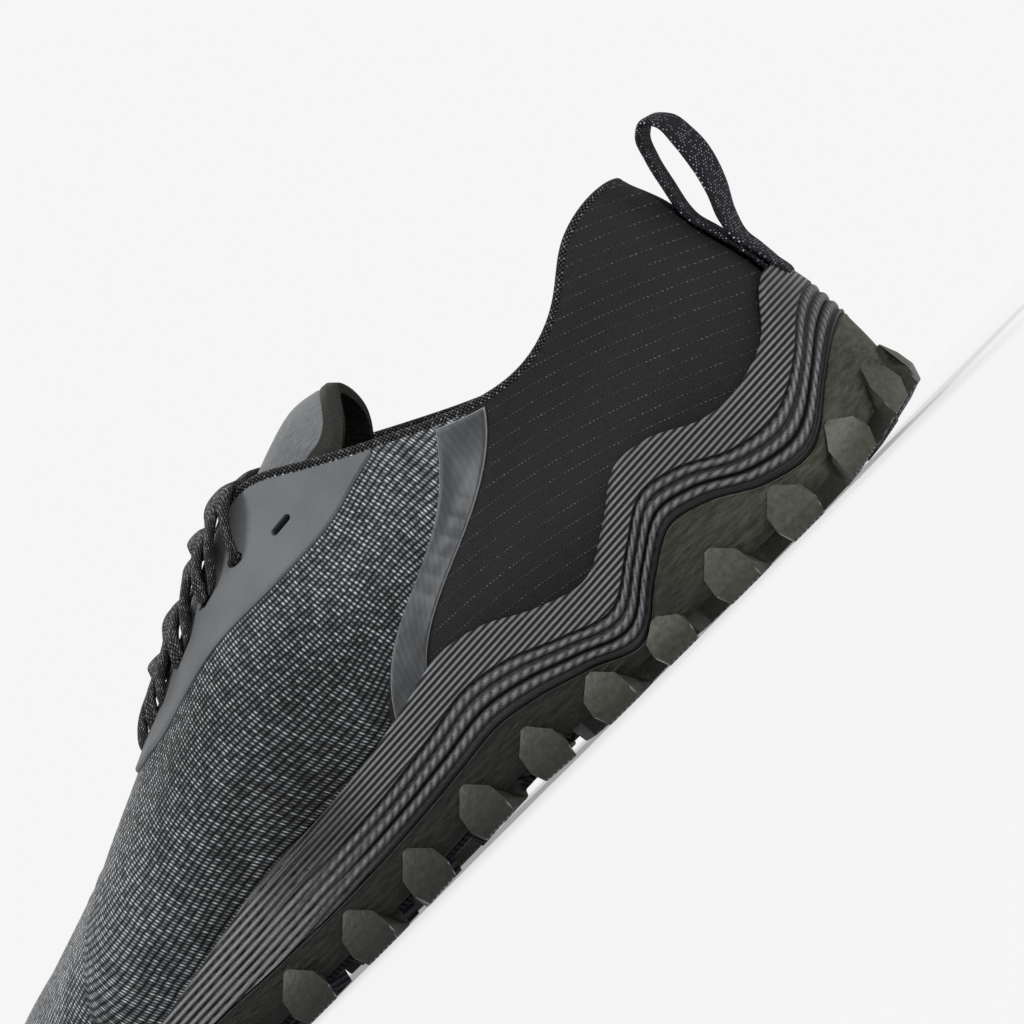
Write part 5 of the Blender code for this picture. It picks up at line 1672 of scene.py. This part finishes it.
def build_binding():
    """Braided piping on the whole top edge, closed at the base of the throat."""
    steps = THROAT_ROW * 8 - 3
    span = np.arange(-steps, steps + 1) / 8
    rings = np.mod(span, RING)
    row = np.abs(span)
    radii = COLLAR_BINDING_RADIUS + (THROAT_BINDING_RADIUS - COLLAR_BINDING_RADIUS) * smooth_step(
        (row - 5.5) / 1.5)
    edge, _ = top_line(rings)
    normal = upper_normal(rings, np.full(len(rings), 0.99))
    run = top_line(rings + 0.05)[0] - top_line(rings - 0.05)[0]
    climb = np.cross(run, normal)
    climb = climb / np.linalg.norm(climb, axis=1, keepdims=True)
    path = edge - 0.5 * UPPER_WALL * normal + climb * (0.45 * radii)[:, None]
    base, _ = top_line(np.array([float(THROAT_ROW)]))
    turn = base[0] + np.array((THROAT_BINDING_RADIUS, 0.0, 0.0002))
    path = np.concatenate((path, turn[None, :]))
    count = len(path)
    line = resampled(path, BRAID_STEP, True)
    sizes = np.interp(np.linspace(0, 1, len(line)), np.linspace(0, 1, count), np.append(radii, radii[-1]))
    widen = sizes / THROAT_BINDING_RADIUS
    tube = braided(path, 2.0 * THROAT_BINDING_RADIUS, 2.1 * THROAT_BINDING_RADIUS, BINDING_STRANDS,
                   BINDING_STITCH, 20, lambda part: widen, closed=True)
    look = cord_finish("binding_braid", "#050505", "#161617", "#77777c", 0.30)
    made = join_tubes("collar_binding", [tube], look)
    return place(made, ["collar_binding"], "braided_binding")


def surface_stop(ring, share, lift):
    """Point over the upper at one ring number, raised off its face."""
    ring = np.array([float(ring)])
    share = np.array([share])
    return upper_surface(ring, share)[0] + upper_normal(ring, share)[0] * lift


def narrowing(part, start):
    """Width of a lace along its crossing, drawn in at its slots."""
    first = start + (1.0 - start) * smooth_step((part - 0.03) / 0.09)
    last = LACE_PINCH + (1.0 - LACE_PINCH) * smooth_step((1.0 - part - 0.03) / 0.09)
    return first * last


def build_laces():
    """Each crossing comes up through a slot, over the tongue, and down through the next slot."""
    sides = ("outer", "inner")
    lie = OVERLAY_THICKNESS + LACE_THICKNESS / 2 + 0.0002
    over = LACE_OVER + LACE_THICKNESS / 2
    tubes = []
    for start, lift in ((0, 0.0), (1, LACE_THICKNESS)):
        for step in range(len(LACE_RINGS) - 1):
            side = sides[(start + step) % 2]
            other = sides[(start + step + 1) % 2]
            leave = LACE_RINGS[step] + LACE_LEAD
            reach = LACE_RINGS[step + 1] - LACE_LEAD
            turn = 0.2 * (reach - leave)
            a = surface_stop(side_ring(leave + turn, side), 1.0, over)
            b = surface_stop(side_ring(reach - turn, other), 1.0, over)
            middle = 0.5 * (a + b)
            middle[2] += 0.0002 + lift
            bow = np.array((0.0, 0.0, LACE_BOW + 0.4 * lift))
            path = [
                surface_stop(side_ring(leave - 0.03, side), LACE_SHARE - 0.002, -UPPER_WALL - 0.0012),
                surface_stop(side_ring(leave, side), LACE_SHARE + 0.002, 0.0),
                surface_stop(side_ring(leave + 0.4 * turn, side), LACE_SHARE + 0.035, lie + 0.0004),
                a, 0.5 * (a + middle) + bow, middle, 0.5 * (b + middle) + bow, b,
                surface_stop(side_ring(reach - 0.4 * turn, other), LACE_SHARE + 0.035, lie + 0.0004),
                surface_stop(side_ring(reach, other), LACE_SHARE + 0.002, 0.0),
                surface_stop(side_ring(reach + 0.03, other), LACE_SHARE - 0.002, -UPPER_WALL - 0.0012),
            ]
            tubes.append(braided(path, LACE_WIDTH, LACE_THICKNESS, LACE_STRANDS, LACE_STITCH, 28,
                                 lambda part: narrowing(part, TOP_PINCH if step == 0 else LACE_PINCH)))
    made = join_tubes("laces", tubes, cord_finish("lace_braid", "#060606", "#242425", "#77777a", 0.35))
    return place(made, ["laces"], "lace_cord")


# The pull loop from the side: heights where it lies on the heel; distances in front of the
# heel's back and heights where it stands free; heights and distances out of the heel where it
# comes back down; in metres
LOOP_LAID = (0.0440, 0.0480, 0.0520, 0.0560, 0.0600, 0.0640, 0.0685)
LOOP_FREE = ((0.0072, 0.0790), (0.0056, 0.0855), (0.0034, 0.0905), (0.0002, 0.0922), (-0.0024, 0.0895),
             (-0.0030, 0.0835), (-0.0022, 0.0765), (-0.0002, 0.0700), (0.0026, 0.0640))
LOOP_BACK = ((0.0580, 0.0019), (0.0540, 0.0018), (0.0490, 0.0018), (0.0440, 0.0018))
LOOP_LEAN = 0.0005
LOOP_TWIST = 0.0019


def build_pull_loop():
    """Webbing loop standing behind the collar."""
    shares = np.linspace(0.0, 1.0, 101)
    back = upper_surface(np.zeros(1), shares)
    lie = LOOP_THICKNESS / 2 + CLEARANCE

    def laid(z, out):
        return float(np.interp(z, back[:, 2], back[:, 0])) + lie + out, 0.0, z

    path = [laid(z, 0.0) for z in LOOP_LAID]
    path += [(-ahead, 0.0, z) for ahead, z in LOOP_FREE]
    path += [laid(z, out) for z, out in LOOP_BACK]
    foot = LOOP_LAID[0]
    rise = LOOP_FREE[3][1] - foot
    line = resampled(path, LOOP_STEP, True)
    run = np.roll(line, -2, axis=0) - np.roll(line, 2, axis=0)
    run = run / np.linalg.norm(run, axis=1, keepdims=True)
    out = np.stack((-run[:, 2], 0 * run[:, 0], run[:, 0]), axis=1)
    high = smooth_step((line[:, 2] - foot) / rise * 1.3)
    half = LOOP_WIDTH / 2 * (1.0 - 0.10 * high)
    across = np.linspace(-1.0, 1.0, 17)
    travelled = np.linspace(0.0, 1.0, len(line))
    lean = high * (LOOP_TWIST * smooth_step((travelled - 0.40) / 0.25) + LOOP_LEAN)
    base = line[None, :, :] + np.stack((lean[None, :] * across[:, None],
                                        half[None, :] * across[:, None],
                                        0 * across[:, None] * half[None, :]), axis=-1)
    thin = LOOP_THICKNESS / 2 * (0.10 + 0.90 * np.sqrt(1.0 - 0.99 * across ** 6))
    outer = base + out[None, :, :] * thin[:, None, None]
    inner = base - out[None, :, :] * thin[:, None, None]
    made = shell("pull_loop", outer, inner, True, [webbing_finish()])
    outward(made)
    return place(made, ["pull_loop"], "loop_webbing")


# Honeycomb net: pitch, and thickness and depth of its bars
HONEY_PITCH = 0.0056
HONEY_WALL = 0.0011
HONEY_DEPTH = 0.0018


def build_midfoot_grip():
    """Plate of rubber with a raised honeycomb net on it."""
    places, near, far = zip(*MIDFOOT_INSERT)
    fine = np.linspace(places[0], places[-1], 41)
    low = table_at(places, near, fine)
    high = table_at(places, far, fine)
    steps = np.linspace(0.0, 1.0, 12)
    grid = np.zeros((len(fine), len(steps), 3))
    for i, along in enumerate(fine):
        for j, step in enumerate(steps):
            x, y = on_tread(along, low[i] + (high[i] - low[i]) * step)
            grid[i, j] = (x, y, float(base_height(np.array([along]))[0]) - CLEARANCE)
    material = ribbed_finish("net_rubber", "#1b1c1a", "#34352f", 0.9, 1.2)
    plate = shell("midfoot_grip", grid, grid - np.array((0.0, 0.0, INSERT_THICKNESS)), False, [material])
    outward(plate)
    place(plate, ["midfoot_grip"], "outsole_rubber")
    points, faces = [], []
    radius = HONEY_PITCH / math.sqrt(3)
    turns = [math.radians(60 * k + 30) for k in range(6)]
    row_step = HONEY_PITCH * math.sqrt(3) / 2
    for r in range(14):
        for c in range(10):
            x = -places[0] * LENGTH - 0.003 - r * row_step
            y = (c + 0.5 * (r % 2)) * HONEY_PITCH
            along = -x / LENGTH
            near_y = on_tread(along, float(table_at(places, near, along)))[1]
            far_y = on_tread(along, float(table_at(places, far, along)))[1]
            if not (near_y + radius < y < far_y - radius and along < places[-1] - 0.015):
                continue
            z = float(base_height(np.array([along]))[0]) - CLEARANCE - INSERT_THICKNESS
            start = len(points)
            for size in (radius - 0.00005, radius - HONEY_WALL / 2):
                for level in (0.0001, -HONEY_DEPTH):
                    points.extend((x + size * math.cos(a), y + size * math.sin(a), z + level) for a in turns)
            for k in range(6):
                m = (k + 1) % 6
                ring = [start + k, start + 6 + k, start + 18 + k, start + 12 + k]
                after = [start + m, start + 6 + m, start + 18 + m, start + 12 + m]
                for q in range(4):
                    w = (q + 1) % 4
                    faces.append((ring[q], ring[w], after[w], after[q]))
    net = outward(piece_from("midfoot_net", points, faces, [material]))
    place(net, [], "outsole_rubber")


def dress_solids():
    """Materials of the solids that stay as they are."""
    looks = {
        "forefoot_tread": ribbed_finish("forefoot_ribs", "#16161e", "#43434e", 1.05, -0.6),
        "tread_accent": ribbed_finish("accent_rubber", "#8e2a33", "#c2404a", 1.4, 0.4),
    }
    for name, material in looks.items():
        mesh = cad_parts[name].data
        mesh.materials.clear()
        mesh.materials.append(material)


# Camera, light and floor

FRAME_PIXELS = 1024
PIXELS_PER_METRE = 4500.0
HEEL_PIXEL = (926, 410)
ROLL = math.radians(45.0)
AZIMUTH = math.radians(13.0)
FOCAL = 0.120
SENSOR = 0.036
CAMERA_HEIGHT = 0.012
BACKDROP = 0.92
AMBIENT = 0.42
FLOOR_SHADE = 0.385
# Lamps: name, place, where it points, size and power
LAMPS = (
    ("key", (-0.45, -0.70, 1.00), (0.02, 0.0, 0.04), 0.45, 11.0),
    ("heel_side", (0.95, -0.50, 0.50), (0.08, 0.0, 0.04), 0.30, 7.0),
    ("far_side", (-0.20, 0.85, 0.85), (0.0, 0.0, 0.04), 0.45, 8.0),
)


def view_axes(rise):
    """Right, up and back of a camera that isn't rolled, for an angle of sight below the level."""
    right = np.array((math.cos(AZIMUTH), math.sin(AZIMUTH), 0.0))
    forward = np.array((-math.sin(AZIMUTH) * math.cos(rise), math.cos(AZIMUTH) * math.cos(rise),
                        math.sin(rise)))
    up = np.cross(right, forward)
    return right, up, -forward


def build_camera():
    """The photograph's view from the outer side, rolled, and kept over the floor."""
    view_width = FRAME_PIXELS / PIXELS_PER_METRE
    distance = FOCAL * view_width / SENSOR
    offset_x = (FRAME_PIXELS / 2 - HEEL_PIXEL[0]) / PIXELS_PER_METRE
    offset_y = -(FRAME_PIXELS / 2 - HEEL_PIXEL[1]) / PIXELS_PER_METRE
    run = offset_x * math.cos(ROLL) + offset_y * math.sin(ROLL)
    climb = -offset_x * math.sin(ROLL) + offset_y * math.cos(ROLL)
    heel = np.array((SHIFT[0] + 0.001, -HEEL_WIDTH * 0.30, 0.0))
    rise = math.atan2(climb - CAMERA_HEIGHT, distance)
    right, up, back = view_axes(rise)
    target = heel + right * run + np.array((0.0, 0.0, climb))
    spot = target + back * distance
    turned_right = right * math.cos(ROLL) - up * math.sin(ROLL)
    turned_up = right * math.sin(ROLL) + up * math.cos(ROLL)
    camera = bpy.data.objects.new("camera", bpy.data.cameras.new("camera"))
    camera.data.lens = FOCAL * 1000
    camera.data.sensor_width = SENSOR * 1000
    camera.data.clip_start = 0.01
    matrix = np.eye(4)
    matrix[:3, 0] = turned_right
    matrix[:3, 1] = turned_up
    matrix[:3, 2] = back
    matrix[:3, 3] = spot
    camera.matrix_world = Matrix(matrix.tolist())
    bpy.context.scene.collection.objects.link(camera)
    bpy.context.scene.camera = camera


def area_light(name, spot, target, size, power):
    light = bpy.data.objects.new(name, bpy.data.lights.new(name, "AREA"))
    light.data.shape = "DISK"
    light.data.size = size
    light.data.energy = power
    direction = bpy_vector(np.subtract(target, spot))
    light.location = spot
    light.rotation_euler = direction.to_track_quat("-Z", "Y").to_euler()
    bpy.context.scene.collection.objects.link(light)


def build_stage():
    size = 6.0
    corners = [(-size, -size, 0.0), (size, -size, 0.0), (size, size, 0.0), (-size, size, 0.0)]
    mesh = bpy.data.meshes.new("floor")
    mesh.from_pydata(corners, [], [(0, 1, 2, 3)])
    mesh.materials.append(stage_finish())
    floor = bpy.data.objects.new("floor", mesh)
    bpy.context.scene.collection.objects.link(floor)
    world = bpy.data.worlds.new("studio")
    world.use_nodes = True
    tree = world.node_tree
    background = tree.nodes["Background"]
    background.inputs["Color"].default_value = (1.0, 1.0, 1.0, 1.0)
    seen = Field(tree, tree.nodes.new("ShaderNodeLightPath").outputs["Is Camera Ray"])
    tree.links.new((seen * (BACKDROP - AMBIENT) + AMBIENT).socket, background.inputs["Strength"])
    bpy.context.scene.world = world
    for lamp in LAMPS:
        area_light(*lamp)
    bpy.context.scene.view_settings.view_transform = "Standard"


def main():
    cutter = slot_cutter()
    build_upper(cutter)
    build_eyestays(cutter)
    bpy.data.objects.remove(cutter, do_unlink=True)
    build_straps()
    build_toe_cap()
    build_midsole()
    build_outsole()
    build_insole()
    build_tongue()
    build_binding()
    build_laces()
    build_pull_loop()
    build_midfoot_grip()
    dress_solids()
    build_stage()
    build_camera()


main()
